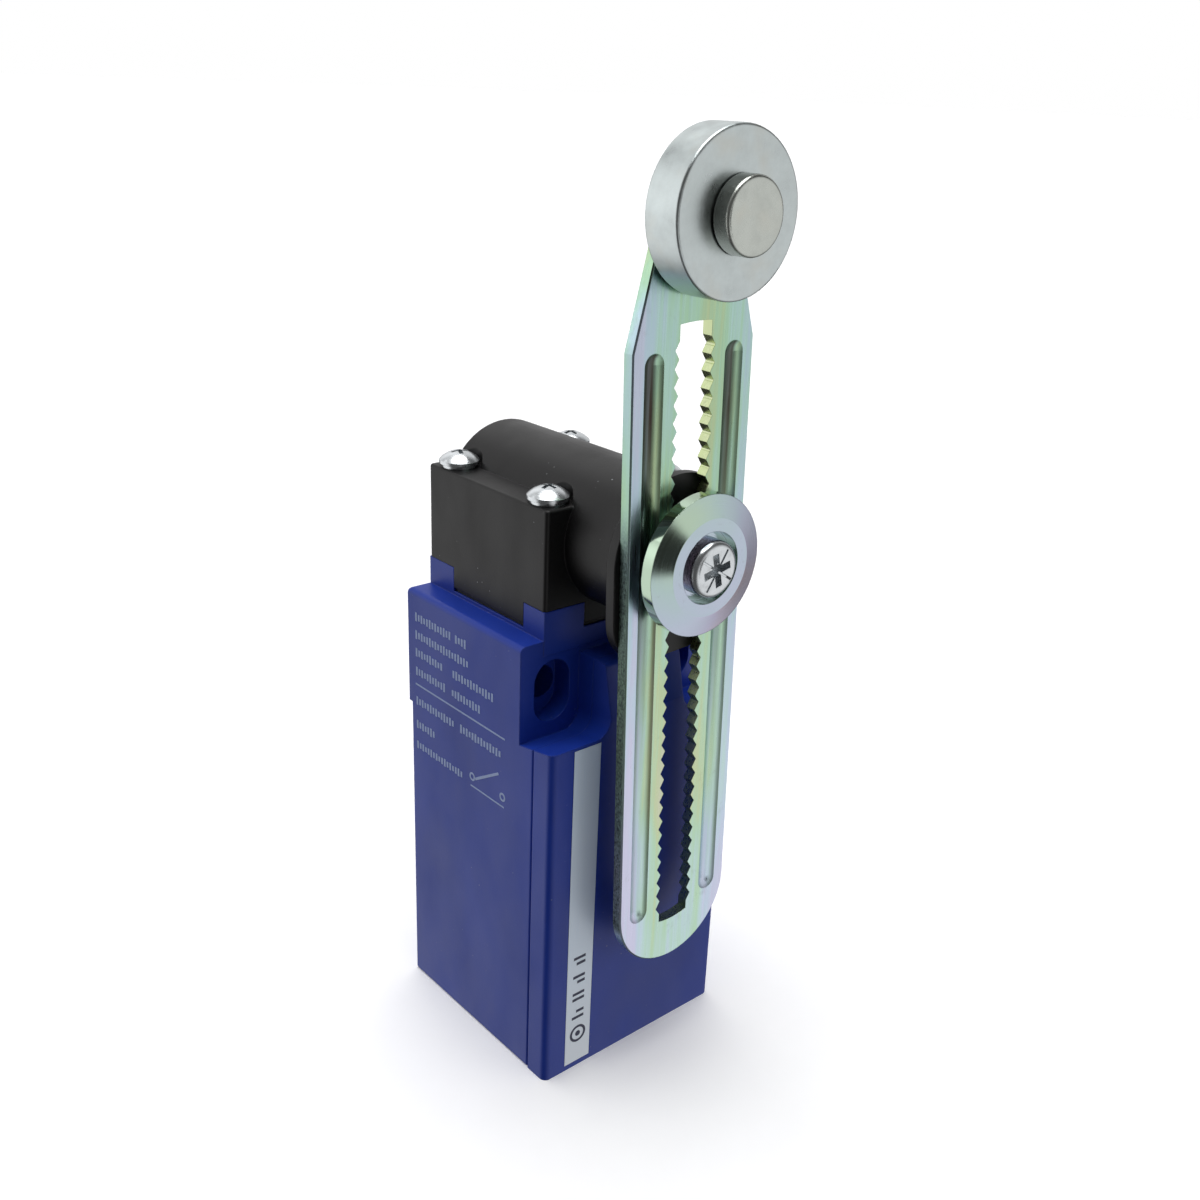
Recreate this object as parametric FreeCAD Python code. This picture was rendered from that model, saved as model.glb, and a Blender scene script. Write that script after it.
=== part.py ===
import FreeCAD, Part
import os
from math import acos, atan2, cos, degrees, hypot, radians, sin, sqrt

# Roller-lever limit switch with an adjustable-length slotted lever.  Millimetres, +Z up.
# Origin: midway between the two fixing holes, on the rear mounting face.
# The cover and the lever face -Y, the cable entry faces -Z, and the lever turns about a Y axis.

V = FreeCAD.Vector

# ---- driving dimensions -------------------------------------------------------------------
# housing
HALF_WIDTH = 15.5
BASE_Z = -54.6
TOP_Z = 7.0
LEDGE_BACK_Z = -6.2
LEDGE_FRONT_Z = -5.0
FRONT_Y = -32.0
SEAM_Y = -28.2
POCKET_Y = -25.4
BACK_Y = -0.75
PAD_BOTTOM_Z = -9.8
WALL = 2.3
TONGUE_HALF_WIDTH = 6.2
TONGUE_FILLET = 2.4
TONGUE_TOP_Z = 4.2
CHAMBER_HALF_WIDTH = 6.2
CHAMBER_HALF_DEPTH = 8.4
WEB_TOP_Z = -5.0
WEB_BOTTOM_Z = -7.0
CAVITY_TOP_Z = -8.6
FLOOR_THICKNESS = 3.0
INNER_HALF_WIDTH = HALF_WIDTH - WALL
TOP_ROUND = 0.8
BASE_ROUND = 0.4
SEAM_ROUND = 0.3

# cover, snap hooks and label recess
COVER_WALL = 2.0
COVER_ROUND = 1.0
TONGUE_LEAN = 1.5          # how far the tongue's front leans back at its top
TONGUE_LEAN_FROM_Z = -3.0
TONGUE_ROUND = 0.6
SNAP_HEIGHTS = (-46.0, -16.0)
SNAP_HALF_WIDTH = 2.0
LABEL_X = (-12.0, -7.7)
LABEL_Z = (-53.8, -5.4)
LABEL_DEPTH = 0.3
GASKET_INSET = 1.4
GASKET_RIM = 1.0

# fixing holes: slots along X that take 20 mm and 22 mm centres
FIXING_X = 10.5
FIXING_RADIUS = 2.15
FIXING_LENGTH = 5.3
RECESS_WIDTH = 5.6
RECESS_HEIGHT = 8.4
RECESS_DEPTH = 3.0

# cable entry, tapped M16 x 1.5
ENTRY_Y = -16.3
ENTRY_RADIUS = 7.25
ENTRY_BOSS_RADIUS = 10.4
ENTRY_LENGTH = 9.0

# head
HEAD_Y = -13.0
HEAD_HALF_WIDTH = 12.0
HEAD_HALF_DEPTH = 12.5
PLINTH_Z = 7.5
HEAD_BOTTOM_Z = 8.0
HEAD_TOP_Z = 23.7
TAB_TOP_Z = 10.8
TAB_LENGTH = 6.3
FRONT_TAB_SIDE = 4.2
REAR_TAB_SIDE = 5.6
TAB_THICKNESS = 1.0
TAB_GAP = 0.05
BARREL_RADIUS = 9.2
BARREL_FRONT_Y = -33.9
CAM_CHAMBER_RADIUS = 7.6
CAM_CHAMBER_FRONT_Y = -18.6
CAM_CHAMBER_BACK_Y = -7.6
THROAT_HALF_WIDTH = 7.0
GUIDE_TOP_Z = 11.0
GUIDE_HALF_WIDTH = 7.6
GUIDE_HALF_DEPTH = 6.6
BUSHING_RADIUS = 5.4
SEAL_RADIUS = 6.2
SEAL_BACK_Y = -29.6
REAR_BUSHING_RADIUS = 3.8
REAR_BUSHING_BACK_Y = -2.4
HEAD_SCREW_OFFSET = 9.35
HEAD_SCREW_TIP_Z = 4.7
HEAD_SCREW_RADIUS = 1.25
HEAD_SCREW_HOLE = 1.4
HEAD_SCREW_HEAD = 2.65
HEAD_SCREW_DOME = 1.6
SPRING_WASHER_RADIUS = 2.3
SPRING_WASHER_HEIGHT = 0.5
HEAD_SCREW_TURNS = (15, 70, 40, 5)

# shaft, cams and pushers
SHAFT_Z = 18.9
SHAFT_RADIUS = 3.5
SPINDLE_RADIUS = 2.4
SHAFT_FRONT_Y = -35.7
SHAFT_STEP_Y = -17.75
HUB_FLAT = 2.6
CAM_FLAT = 1.8
CIRCLIP_Y = (-18.45, -17.95)
CIRCLIP_GROOVE = 0.6
CIRCLIP_WIDTH = 1.5
BASE_CIRCLE = 1.4
ROLL_AT_REST = 3.8
SWING_DEG = 70.0
ROLL_MARGIN = 0.1
CAM_CORE_RADIUS = 3.4
CAM_WIDTH = 4.0
CAM_SPACING = 5.2
PUSHER_RADIUS = 1.5
PUSHER_BOTTOM_Z = -7.3
COLLAR_TOP_Z = 5.9
COLLAR_BOTTOM_Z = 4.4
COLLAR_RADIUS = 2.4
PUSHER_GAP = 0.06

# lever
LEVER_TILT_DEG = 1.79
ARM_FRONT_Y = -37.2
ARM_BACK_Y = -35.75
ARM_HALF_WIDTH = 9.3
ARM_FOOT_V = -47.9
ARM_CHAMFER = 0.18
ARM_SHOULDER_V = 25.4
ARM_TIP_RADIUS = 5.0
ROLLER_V = 39.86
SLOT_BOTTOM_V = -51.0
SLOT_TOP_V = 27.9
TOOTH_PITCH = 2.05
TOOTH_COUNT = 37
TOOTH_START_V = -49.75
TOOTH_PEAK_U = 2.45
TOOTH_VALLEY_U = 3.06
TOOTH_VALLEY_HALF = 0.22
GROOVE_U = 6.15
GROOVE_WIDTH = 2.9
GROOVE_BOTTOM_V = -49.4
GROOVE_TOP_V = 25.2
GROOVE_TOOL_RADIUS = 2.0
HUB_RADIUS = 10.1
HUB_BACK_Y = -34.15
HUB_FOOT_V = -12.6
HUB_FOOT_ROUND = 6.0
KEY_HALF_LENGTH = 4.5

# clamp washer and screw
WASHER_RADIUS = 8.7
WASHER_FACE_RADIUS = 6.0
WASHER_BOSS_RADIUS = 6.3
WASHER_BOSS_Y = -37.25
WASHER_RIM_BACK_Y = -38.6
WASHER_RIM_FRONT_Y = -40.35
WASHER_FACE_Y = -41.2
COUNTERBORE_RADIUS = 4.45
COUNTERBORE_FLOOR_Y = -39.6
CLAMP_HEAD_RADIUS = 3.5
CLAMP_HEAD_FRONT_Y = -42.3
CLAMP_HEAD_ROUND = 0.9
CLAMP_SHANK_RADIUS = 2.0
CLAMP_TIP_Y = -27.0

# roller
ROLLER_RADIUS = 9.0
ROLLER_BACK_Y = -37.95
ROLLER_FRONT_Y = -42.95
BUSH_RADIUS = 3.3
SPACER_RADIUS = 4.3
PIN_RADIUS = 2.5
PIN_HEAD_RADIUS = 4.18
PIN_HEAD_BACK_Y = -43.2
PIN_HEAD_FRONT_Y = -45.35
RIVET_RADIUS = 3.6
RIVET_BACK_Y = -35.05

# contact block
BLOCK_HALF_WIDTH = 12.4
BLOCK_TOP_Z = -10.2
BLOCK_BOTTOM_Z = -37.5
BLOCK_BACK_Y = -3.5
BLOCK_FRONT_Y = -20.0
BACKPLATE_Y = -6.6
BLOCK_FOOT = 1.5
SHUTTER_THICKNESS = 1.2
POST_INNER_X = 5.8
UPPER_POST_BOTTOM_Z = -14.0
LOWER_POST_TOP_Z = -31.1
STRIP_THICKNESS = 0.8
TIP_RADIUS = 1.4
TIP_X = 6.9
TIP_THICKNESS = 0.5
BRIDGE_THICKNESS = 0.6
CONTACT_GAP = 2.3
TERMINAL_X = 9.6
TERMINAL_Y = -21.0
PAD_HALF_WIDTH = 2.3
STRIP_OUTER_X = BLOCK_HALF_WIDTH - 0.8
CLAMP_SEAT_Y = TERMINAL_Y - 1.2
CLAMP_HALF_HEIGHT = 1.8
TERMINAL_SCREW = (2.2, 1.8, 1.5)        # head radius, head height, shank radius
BLOCK_SCREW = (1.9, 1.5, 1.0)
BLOCK_SCREW_X = 10.2
BLOCK_SCREW_Z = -22.5

# carrier
CARRIER_HALF_WIDTH = 4.4
CARRIER_HALF_DEPTH = 4.0
CARRIER_TOP_Z = -9.5
CARRIER_BOTTOM_Z = -30.2
BRIDGE_HALF_WIDTH = 1.6
NC_TIP_TOP = UPPER_POST_BOTTOM_Z - STRIP_THICKNESS
NC_BRIDGE_TOP = NC_TIP_TOP - 2 * TIP_THICKNESS - 0.04
NO_TIP_BOTTOM = LOWER_POST_TOP_Z + STRIP_THICKNESS
NO_BRIDGE_BOTTOM = NO_TIP_BOTTOM + 2 * TIP_THICKNESS + CONTACT_GAP
NC_WINDOW = (-20.7, -15.2)
NO_WINDOW = (NO_BRIDGE_BOTTOM - 0.02, NO_BRIDGE_BOTTOM + 4.86)
WINDOW_HALF_DEPTH = 2.4

# springs: mean radius, wire radius, turns
PUSHER_SPRING = (1.98, 0.25, 6)
BRIDGE_SPRING = (1.5, 0.25, 4.5)
CARRIER_SPRING = (2.1, 0.25, 4)
SPRING_GAP = 0.02

SLIP = 0.03        # radial gap between fitted pieces of one body
RUNNING = 0.05     # radial gap of running fits
FACE_GAP = 0.05    # gap between flat faces that slide on each other


# ---- shape helpers ------------------------------------------------------------------------
def box(x0, x1, y0, y1, z0, z1):
    return Part.makeBox(x1 - x0, y1 - y0, z1 - z0, V(x0, y0, z0))


def wide_box(half_x, y0, y1, z0, z1):
    return box(-half_x, half_x, y0, y1, z0, z1)


def rod_y(radius, y0, y1, x=0.0, z=SHAFT_Z):
    return Part.makeCylinder(radius, y1 - y0, V(x, y0, z), V(0, 1, 0))


def rod_z(radius, z0, z1, x=0.0, y=HEAD_Y):
    return Part.makeCylinder(radius, z1 - z0, V(x, y, z0), V(0, 0, 1))


def cone_y(radius0, radius1, y0, y1, x=0.0, z=SHAFT_Z):
    return Part.makeCone(radius0, radius1, y1 - y0, V(x, y0, z), V(0, 1, 0))


def ring_y(outer, inner, y0, y1, x=0.0, z=SHAFT_Z):
    return rod_y(outer, y0, y1, x, z).cut(rod_y(inner, y0 - 1, y1 + 1, x, z))


def ring_z(outer, inner, z0, z1, x=0.0, y=HEAD_Y):
    return rod_z(outer, z0, z1, x, y).cut(rod_z(inner, z0 - 1, z1 + 1, x, y))


def join(shapes):
    result = shapes[0]
    for shape in shapes[1:]:
        result = result.fuse(shape)
    return result.removeSplitter()


def mirrored(shape):
    return shape.mirror(V(0, 0, 0), V(1, 0, 0))


def straight_edges(shape):
    # each straight edge with its middle and direction
    for edge in shape.Edges:
        if len(edge.Vertexes) == 2:
            run = edge.Vertexes[1].Point - edge.Vertexes[0].Point
            if abs(edge.Length - run.Length) < 1e-6:
                yield edge, edge.CenterOfMass, run / run.Length


def round_where(shape, radius, wanted):
    # rounds the straight edges for which wanted(middle, direction) is true
    chosen = [edge for edge, middle, run in straight_edges(shape) if wanted(middle, run)]
    return shape.makeFillet(radius, chosen)


def upright_edge(middle, run):
    return abs(run.z) > 0.9


def arc(start, middle, end):
    return Part.Arc(start, middle, end).toShape()


def line(start, end):
    return Part.LineSegment(start, end).toShape()


def round_rims(shape, radius, y):
    # rounds the circular edges that lie in the plane at y
    rims = [edge for edge in shape.Edges if abs(edge.CenterOfMass.y - y) < 1e-6]
    return shape.makeFillet(radius, rims)


def slot_y(half_width, length, y0, y1, x, z, upright=False):
    # obround prism along Y
    reach = length / 2 - half_width
    step = V(0, 0, reach) if upright else V(reach, 0, 0)
    ends = [rod_y(half_width, y0, y1, x + side * step.x, z + side * step.z) for side in (-1, 1)]
    if upright:
        middle = box(x - half_width, x + half_width, y0, y1, z - reach, z + reach)
    else:
        middle = box(x - reach, x + reach, y0, y1, z - half_width, z + half_width)
    return join([middle] + ends)


def coil_spring(size, bottom, top, x=0.0, y=HEAD_Y):
    # open helix whose wire just clears the faces at bottom and top
    mean_radius, wire_radius, turns = size
    z0 = bottom + SPRING_GAP
    height = top - SPRING_GAP - z0 - 2 * wire_radius
    helix = Part.makeHelix(height / turns, height, mean_radius)
    circle = Part.Circle(V(mean_radius, 0, 0), V(0, 1, 0), wire_radius)
    profile = Part.Wire([circle.toShape()])
    spring = Part.Wire(helix.Edges).makePipeShell([profile], True, False)
    spring.translate(V(x, y, z0 + wire_radius))
    return spring


def bar_on_shaft(half_length, half_height, y0, y1, angle_deg):
    bar = box(-half_length, half_length, y0, y1, SHAFT_Z - half_height, SHAFT_Z + half_height)
    bar.rotate(V(0, 0, SHAFT_Z), V(0, 1, 0), angle_deg)
    return bar


def cross_recess(radius, depth, wing, y_face, turn_deg):
    # cross slot with four thin tick marks between its wings, cut from the front face
    ticks = 0.12 * radius
    cuts = []
    for angle in (turn_deg, turn_deg + 90):
        cuts.append(bar_on_shaft(radius * 0.6, wing / 2, y_face - 1, y_face + depth, angle))
        cuts.append(bar_on_shaft(radius * 0.8, ticks / 3, y_face - 1, y_face + ticks, angle + 45))
    return join(cuts)


def lever_frame(shape):
    # from the upright lever to its tilted place on the shaft
    shape.rotate(V(0, 0, SHAFT_Z), V(0, 1, 0), -LEVER_TILT_DEG)
    return shape


def corner_tabs(grow, z1):
    # four L-shaped walls at the corners of the head; the front ones reach less far along its sides
    half_x = HEAD_HALF_WIDTH
    half_y = HEAD_HALF_DEPTH
    tabs = []
    wall = TAB_THICKNESS + grow
    for sy, side_length in ((-1, FRONT_TAB_SIDE), (1, REAR_TAB_SIDE)):
        start_x = half_x - TAB_LENGTH - grow
        outer = box(start_x, half_x, half_y - side_length - grow, half_y, PLINTH_Z, z1)
        tab = outer.cut(box(0, half_x - wall, 0, half_y - wall, PLINTH_Z - 1, z1 + 1))
        if sy < 0:
            tab = tab.mirror(V(0, 0, 0), V(0, 1, 0))
        tab.translate(V(0, HEAD_Y, 0))
        tabs += [tab, mirrored(tab)]
    return tabs


def head_screw_places():
    offset = HEAD_SCREW_OFFSET
    return [(sx * offset, HEAD_Y + sy * offset) for sx in (-1, 1) for sy in (-1, 1)]


def pusher_places():
    # the right-hand pusher runs under the front cam, the left-hand one under the rear cam
    return {
        "right": (BASE_CIRCLE, HEAD_Y - CAM_SPACING / 2),
        "left": (-BASE_CIRCLE, HEAD_Y + CAM_SPACING / 2),
    }


def pusher_holes(z0, z1):
    return [rod_z(PUSHER_RADIUS + RUNNING, z0, z1, x, y) for x, y in pusher_places().values()]


# ---- housing ------------------------------------------------------------------------------
def ledge_height(y):
    # the ledge under the fixing pockets rises towards the front
    share = (POCKET_Y - y) / (POCKET_Y - FRONT_Y)
    return LEDGE_BACK_Z + share * (LEDGE_FRONT_Z - LEDGE_BACK_Z)


def above_ledge(y0, y1):
    # everything above the sloping ledge between y0 and y1
    return side_prism([(y0, ledge_height(y0)), (y1, ledge_height(y1)), (y1, 20), (y0, 20)])


def side_prism(outline):
    # prism right across the housing over an outline of (y, z) corners
    corners = [V(-20, y, z) for y, z in outline]
    return Part.Face(Part.makePolygon(corners + corners[:1])).extrude(V(40, 0, 0))


def tongue_profile(y0, y1, z1):
    # upright tongue between the fixing pockets, with concave fillets where it meets the ledge
    half = TONGUE_HALF_WIDTH
    fillet = TONGUE_FILLET
    tongue = wide_box(half, y0, y1, LEDGE_BACK_Z - 1, z1)
    foot = wide_box(half + fillet, FRONT_Y - 3, POCKET_Y + 3, LEDGE_BACK_Z - 1, LEDGE_BACK_Z + fillet)
    for side in (-1, 1):
        centre_x = side * (half + fillet)
        foot = foot.cut(rod_y(fillet, FRONT_Y - 4, POCKET_Y + 4, centre_x, LEDGE_BACK_Z + fillet))
    slope_deg = degrees(atan2(LEDGE_FRONT_Z - LEDGE_BACK_Z, POCKET_Y - FRONT_Y))
    foot.rotate(V(0, POCKET_Y, LEDGE_BACK_Z), V(1, 0, 0), -slope_deg)
    foot = foot.common(wide_box(half + fillet + 1, y0, y1, LEDGE_BACK_Z - 1, z1))
    return join([tongue, foot])


def fixing_cutters():
    # slotted holes, each with an upright recess for the screw's head
    cutters = []
    y0 = POCKET_Y - 1
    y1 = POCKET_Y + RECESS_DEPTH
    for x in (-FIXING_X, FIXING_X):
        cutters.append(slot_y(FIXING_RADIUS, FIXING_LENGTH, y0, 1, x, 0))
        cutters.append(slot_y(RECESS_WIDTH / 2, RECESS_HEIGHT, y0, y1, x, 0, upright=True))
    return cutters


def on_top_edge(middle, run):
    # the housing's top edges along its sides and its back
    along_side = abs(run.y) > 0.9
    along_back = abs(run.x) > 0.9 and middle.y > -1
    return abs(middle.z - TOP_Z) < 0.01 and (along_side or along_back)


def on_seam(middle, run):
    return upright_edge(middle, run) and abs(middle.x) > 15 and abs(middle.y - SEAM_Y) < 0.01


def body_housing():
    lower = wide_box(HALF_WIDTH, SEAM_Y, BACK_Y, BASE_Z, LEDGE_FRONT_Z)
    lower = lower.cut(above_ledge(SEAM_Y - 1, POCKET_Y))
    upper = wide_box(HALF_WIDTH, POCKET_Y, BACK_Y, LEDGE_BACK_Z - 1, TOP_Z)
    pad = wide_box(HALF_WIDTH, BACK_Y - 1, 0, PAD_BOTTOM_Z, TOP_Z)
    shell = join([lower, upper, pad])
    shell = round_where(shell, TOP_ROUND, on_top_edge)
    shell = round_where(shell, 0.35, lambda m, d: upright_edge(m, d) and m.y > BACK_Y - 0.1 and abs(m.x) > 15)
    shell = round_where(shell, SEAM_ROUND, on_seam)
    shell = round_where(shell, BASE_ROUND, lambda m, d: abs(m.z - BASE_Z) < 0.01 and m.y > SEAM_Y + 1)
    head_back = HEAD_Y + HEAD_HALF_DEPTH
    plinth = wide_box(HEAD_HALF_WIDTH, HEAD_Y - HEAD_HALF_DEPTH, head_back, TOP_Z - 2, PLINTH_Z)
    tongue = tongue_profile(SEAM_Y, POCKET_Y + 0.5, TONGUE_TOP_Z)
    shell = join([shell, plinth, tongue] + corner_tabs(0, TAB_TOP_Z))

    cavity_floor = BASE_Z + FLOOR_THICKNESS
    shell = shell.cut(wide_box(INNER_HALF_WIDTH, SEAM_Y - 1, BACK_Y - WALL, cavity_floor, CAVITY_TOP_Z))
    shell = shell.cut(pusher_chamber(0.0, CAVITY_TOP_Z - 1, PLINTH_Z + 1))
    web = pusher_chamber(0.5, WEB_BOTTOM_Z, WEB_TOP_Z)
    for hole in pusher_holes(WEB_BOTTOM_Z - 1, WEB_TOP_Z + 1):
        web = web.cut(hole)
    shell = shell.fuse(web)

    boss_top = BASE_Z + ENTRY_LENGTH
    shell = shell.fuse(rod_z(ENTRY_BOSS_RADIUS, BASE_Z, boss_top, 0, ENTRY_Y))
    shell = shell.cut(rod_z(ENTRY_RADIUS, BASE_Z - 1, boss_top + 1, 0, ENTRY_Y))
    for cutter in fixing_cutters():
        shell = shell.cut(cutter)
    for x, y in head_screw_places():
        shell = shell.cut(rod_z(HEAD_SCREW_RADIUS + SLIP, HEAD_SCREW_TIP_Z - 0.2, PLINTH_Z + 1, x, y))
    reach = SNAP_HALF_WIDTH + 0.3
    catch_x = (INNER_HALF_WIDTH - 0.1, INNER_HALF_WIDTH + 0.8)
    for z in SNAP_HEIGHTS:
        catch = box(*catch_x, SEAM_Y + 1.9, SEAM_Y + 3.3, z - reach, z + reach)
        shell = shell.cut(catch).cut(mirrored(catch))
    return shell.removeSplitter()


def pusher_chamber(grow, z0, z1):
    # the well between the head and the switch cavity
    depth = CHAMBER_HALF_DEPTH + grow
    well = wide_box(CHAMBER_HALF_WIDTH + grow, HEAD_Y - depth, HEAD_Y + depth, z0, z1)
    return round_where(well, 1.0, upright_edge)


# ---- cover --------------------------------------------------------------------------------
def front_cover():
    plate = wide_box(HALF_WIDTH, FRONT_Y, SEAM_Y, BASE_Z, LEDGE_FRONT_Z + 1)
    plate = plate.cut(above_ledge(FRONT_Y - 1, SEAM_Y + 1))
    front = FRONT_Y - 4
    top = TONGUE_TOP_Z + 1
    lean_y = FRONT_Y + TONGUE_LEAN
    lean = side_prism([(front, TONGUE_LEAN_FROM_Z), (FRONT_Y, TONGUE_LEAN_FROM_Z), (lean_y, TONGUE_TOP_Z),
                       (lean_y, top), (front, top)])
    cover = join([plate, tongue_profile(FRONT_Y, SEAM_Y, TONGUE_TOP_Z).cut(lean)])
    cover = round_where(cover, COVER_ROUND,
                        lambda m, d: upright_edge(m, d) and abs(m.x) > 15 and abs(m.y - FRONT_Y) < 0.01)
    cover = round_where(cover, SEAM_ROUND, on_seam)
    cover = round_where(cover, TONGUE_ROUND,
                        lambda m, d: abs(m.z - TONGUE_TOP_Z) < 0.01 and abs(m.y - lean_y) < 0.01)
    tray_y = FRONT_Y + COVER_WALL
    tray = wide_box(INNER_HALF_WIDTH, tray_y, SEAM_Y + 1, BASE_Z + FLOOR_THICKNESS, CAVITY_TOP_Z)
    cover = cover.cut(tray)
    cover = cover.cut(box(*LABEL_X, FRONT_Y - 1, FRONT_Y + LABEL_DEPTH, *LABEL_Z))
    hooks = []
    for z in SNAP_HEIGHTS:
        z0 = z - SNAP_HALF_WIDTH
        z1 = z + SNAP_HALF_WIDTH
        stem = box(INNER_HALF_WIDTH - 1.2, INNER_HALF_WIDTH - 0.25, tray_y - 0.5, SEAM_Y + 3.0, z0, z1)
        barb = box(INNER_HALF_WIDTH - 0.5, INNER_HALF_WIDTH + 0.5, SEAM_Y + 2.1, SEAM_Y + 3.0, z0, z1)
        hooks += [stem, barb, mirrored(stem), mirrored(barb)]
    return join([cover] + hooks)


def label_strip():
    gap = 0.02
    x0, x1 = LABEL_X
    z0, z1 = LABEL_Z
    return box(x0 + gap, x1 - gap, FRONT_Y - gap, FRONT_Y + LABEL_DEPTH, z0 + gap, z1 - gap)


def cover_gasket():
    # soft rim between cover and housing, inside the snap hooks
    half = INNER_HALF_WIDTH - GASKET_INSET
    z0 = BASE_Z + FLOOR_THICKNESS + 0.2
    z1 = CAVITY_TOP_Z - 0.2
    y0 = FRONT_Y + COVER_WALL
    outer = wide_box(half, y0, SEAM_Y + 0.6, z0, z1)
    return outer.cut(wide_box(half - GASKET_RIM, y0 - 1, SEAM_Y + 2, z0 + GASKET_RIM, z1 - GASKET_RIM))


# ---- head ---------------------------------------------------------------------------------
def head_housing():
    y0 = HEAD_Y - HEAD_HALF_DEPTH
    y1 = HEAD_Y + HEAD_HALF_DEPTH
    block = wide_box(HEAD_HALF_WIDTH, y0, y1, HEAD_BOTTOM_Z, HEAD_TOP_Z)
    block = round_where(block, 0.5, upright_edge)
    block = block.makeFillet(0.35, [e for e in block.Edges if e.BoundBox.ZMin > HEAD_TOP_Z - 0.01])
    barrel = rod_y(BARREL_RADIUS, BARREL_FRONT_Y, y1)
    barrel = round_rims(barrel, 0.5, BARREL_FRONT_Y)
    barrel = round_rims(barrel, 0.5, y1)
    head = join([block, barrel])
    for x, y in head_screw_places():
        head = head.cut(rod_z(HEAD_SCREW_HEAD + 0.35, HEAD_TOP_Z, HEAD_TOP_Z + 12, x, y))
        head = head.cut(rod_z(HEAD_SCREW_HOLE, HEAD_BOTTOM_Z - 1, HEAD_TOP_Z + 1, x, y))
    for tab in corner_tabs(TAB_GAP, TAB_TOP_Z + TAB_GAP):
        head = head.cut(tab)
    chamber = rod_y(CAM_CHAMBER_RADIUS, CAM_CHAMBER_FRONT_Y, CAM_CHAMBER_BACK_Y)
    throat = wide_box(THROAT_HALF_WIDTH, CAM_CHAMBER_FRONT_Y, CAM_CHAMBER_BACK_Y, HEAD_BOTTOM_Z - 1, SHAFT_Z)
    head = head.cut(chamber).cut(throat).cut(guide_outline(0.0, HEAD_BOTTOM_Z - 1, GUIDE_TOP_Z))
    head = head.cut(rod_y(BUSHING_RADIUS + SLIP, BARREL_FRONT_Y - 1, CAM_CHAMBER_FRONT_Y + 1))
    head = head.cut(rod_y(SEAL_RADIUS + SLIP, BARREL_FRONT_Y - 1, SEAL_BACK_Y))
    head = head.cut(rod_y(REAR_BUSHING_RADIUS + SLIP, CAM_CHAMBER_BACK_Y - 1, REAR_BUSHING_BACK_Y))
    return head.removeSplitter()


def guide_outline(shrink, z0, z1):
    depth = GUIDE_HALF_DEPTH - shrink
    outline = wide_box(GUIDE_HALF_WIDTH - shrink, HEAD_Y - depth, HEAD_Y + depth, z0, z1)
    return round_where(outline, 1.0, upright_edge)


def guide_plate():
    plate = guide_outline(SLIP, HEAD_BOTTOM_Z, GUIDE_TOP_Z)
    for hole in pusher_holes(HEAD_BOTTOM_Z - 1, GUIDE_TOP_Z + 1):
        plate = plate.cut(hole)
    return plate


def head_gasket():
    y0 = HEAD_Y - HEAD_HALF_DEPTH + 0.3
    y1 = HEAD_Y + HEAD_HALF_DEPTH - 0.3
    sheet = wide_box(HEAD_HALF_WIDTH - 0.3, y0, y1, PLINTH_Z, HEAD_BOTTOM_Z)
    window = wide_box(CHAMBER_HALF_WIDTH, HEAD_Y - 6.0, HEAD_Y + 6.0, PLINTH_Z - 1, HEAD_BOTTOM_Z + 1)
    sheet = sheet.cut(window)
    for tab in corner_tabs(TAB_GAP, TAB_TOP_Z):
        sheet = sheet.cut(tab)
    for x, y in head_screw_places():
        sheet = sheet.cut(rod_z(HEAD_SCREW_HOLE, PLINTH_Z - 1, HEAD_BOTTOM_Z + 1, x, y))
    return sheet


def pan_screw_z(x, y, turn_deg):
    # domed screw with a small cross recess, head up, on a spring washer
    seat = HEAD_TOP_Z + SPRING_WASHER_HEIGHT
    top = seat + HEAD_SCREW_DOME
    dome_radius = HEAD_SCREW_HEAD * 1.35
    head = Part.makeSphere(dome_radius, V(x, y, top - dome_radius))
    head = head.common(rod_z(HEAD_SCREW_HEAD, seat, top + 1, x, y))
    for angle in (turn_deg, turn_deg + 90):
        bar = box(x - 1.1, x + 1.1, y - 0.28, y + 0.28, top - 0.9, top + 1)
        bar.rotate(V(x, y, 0), V(0, 0, 1), angle)
        head = head.cut(bar)
    washer = rod_z(SPRING_WASHER_RADIUS, HEAD_TOP_Z, seat, x, y)
    shank = rod_z(HEAD_SCREW_RADIUS, HEAD_SCREW_TIP_Z, HEAD_TOP_Z, x, y)
    return join([head, washer, shank])


def head_screws():
    places = zip(head_screw_places(), HEAD_SCREW_TURNS)
    return Part.makeCompound([pan_screw_z(x, y, turn) for (x, y), turn in places])


# ---- shaft group --------------------------------------------------------------------------
def flatted(radius, y0, y1, flat):
    # round bar with one flat on its underside
    bar = rod_y(radius, y0, y1)
    return bar.cut(wide_box(radius + 1, y0 - 1, y1 + 1, SHAFT_Z - radius - 1, SHAFT_Z - flat))


def operating_shaft():
    cams_end = HEAD_Y + CAM_SPACING / 2 + CAM_WIDTH / 2 + 0.1
    front = flatted(SHAFT_RADIUS, SHAFT_FRONT_Y, HUB_BACK_Y, HUB_FLAT)
    journal = rod_y(SHAFT_RADIUS, HUB_BACK_Y, SHAFT_STEP_Y)
    journal = journal.cut(ring_y(SHAFT_RADIUS + 1, SHAFT_RADIUS - CIRCLIP_GROOVE, *CIRCLIP_Y))
    spindle = flatted(SPINDLE_RADIUS, SHAFT_STEP_Y, cams_end, CAM_FLAT)
    tail = rod_y(SPINDLE_RADIUS, cams_end, REAR_BUSHING_BACK_Y - 0.3)
    shaft = join([front, journal, spindle, tail])
    return shaft.cut(rod_y(CLAMP_SHANK_RADIUS + SLIP, SHAFT_FRONT_Y - 1, CLAMP_TIP_Y + 0.8))


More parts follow.
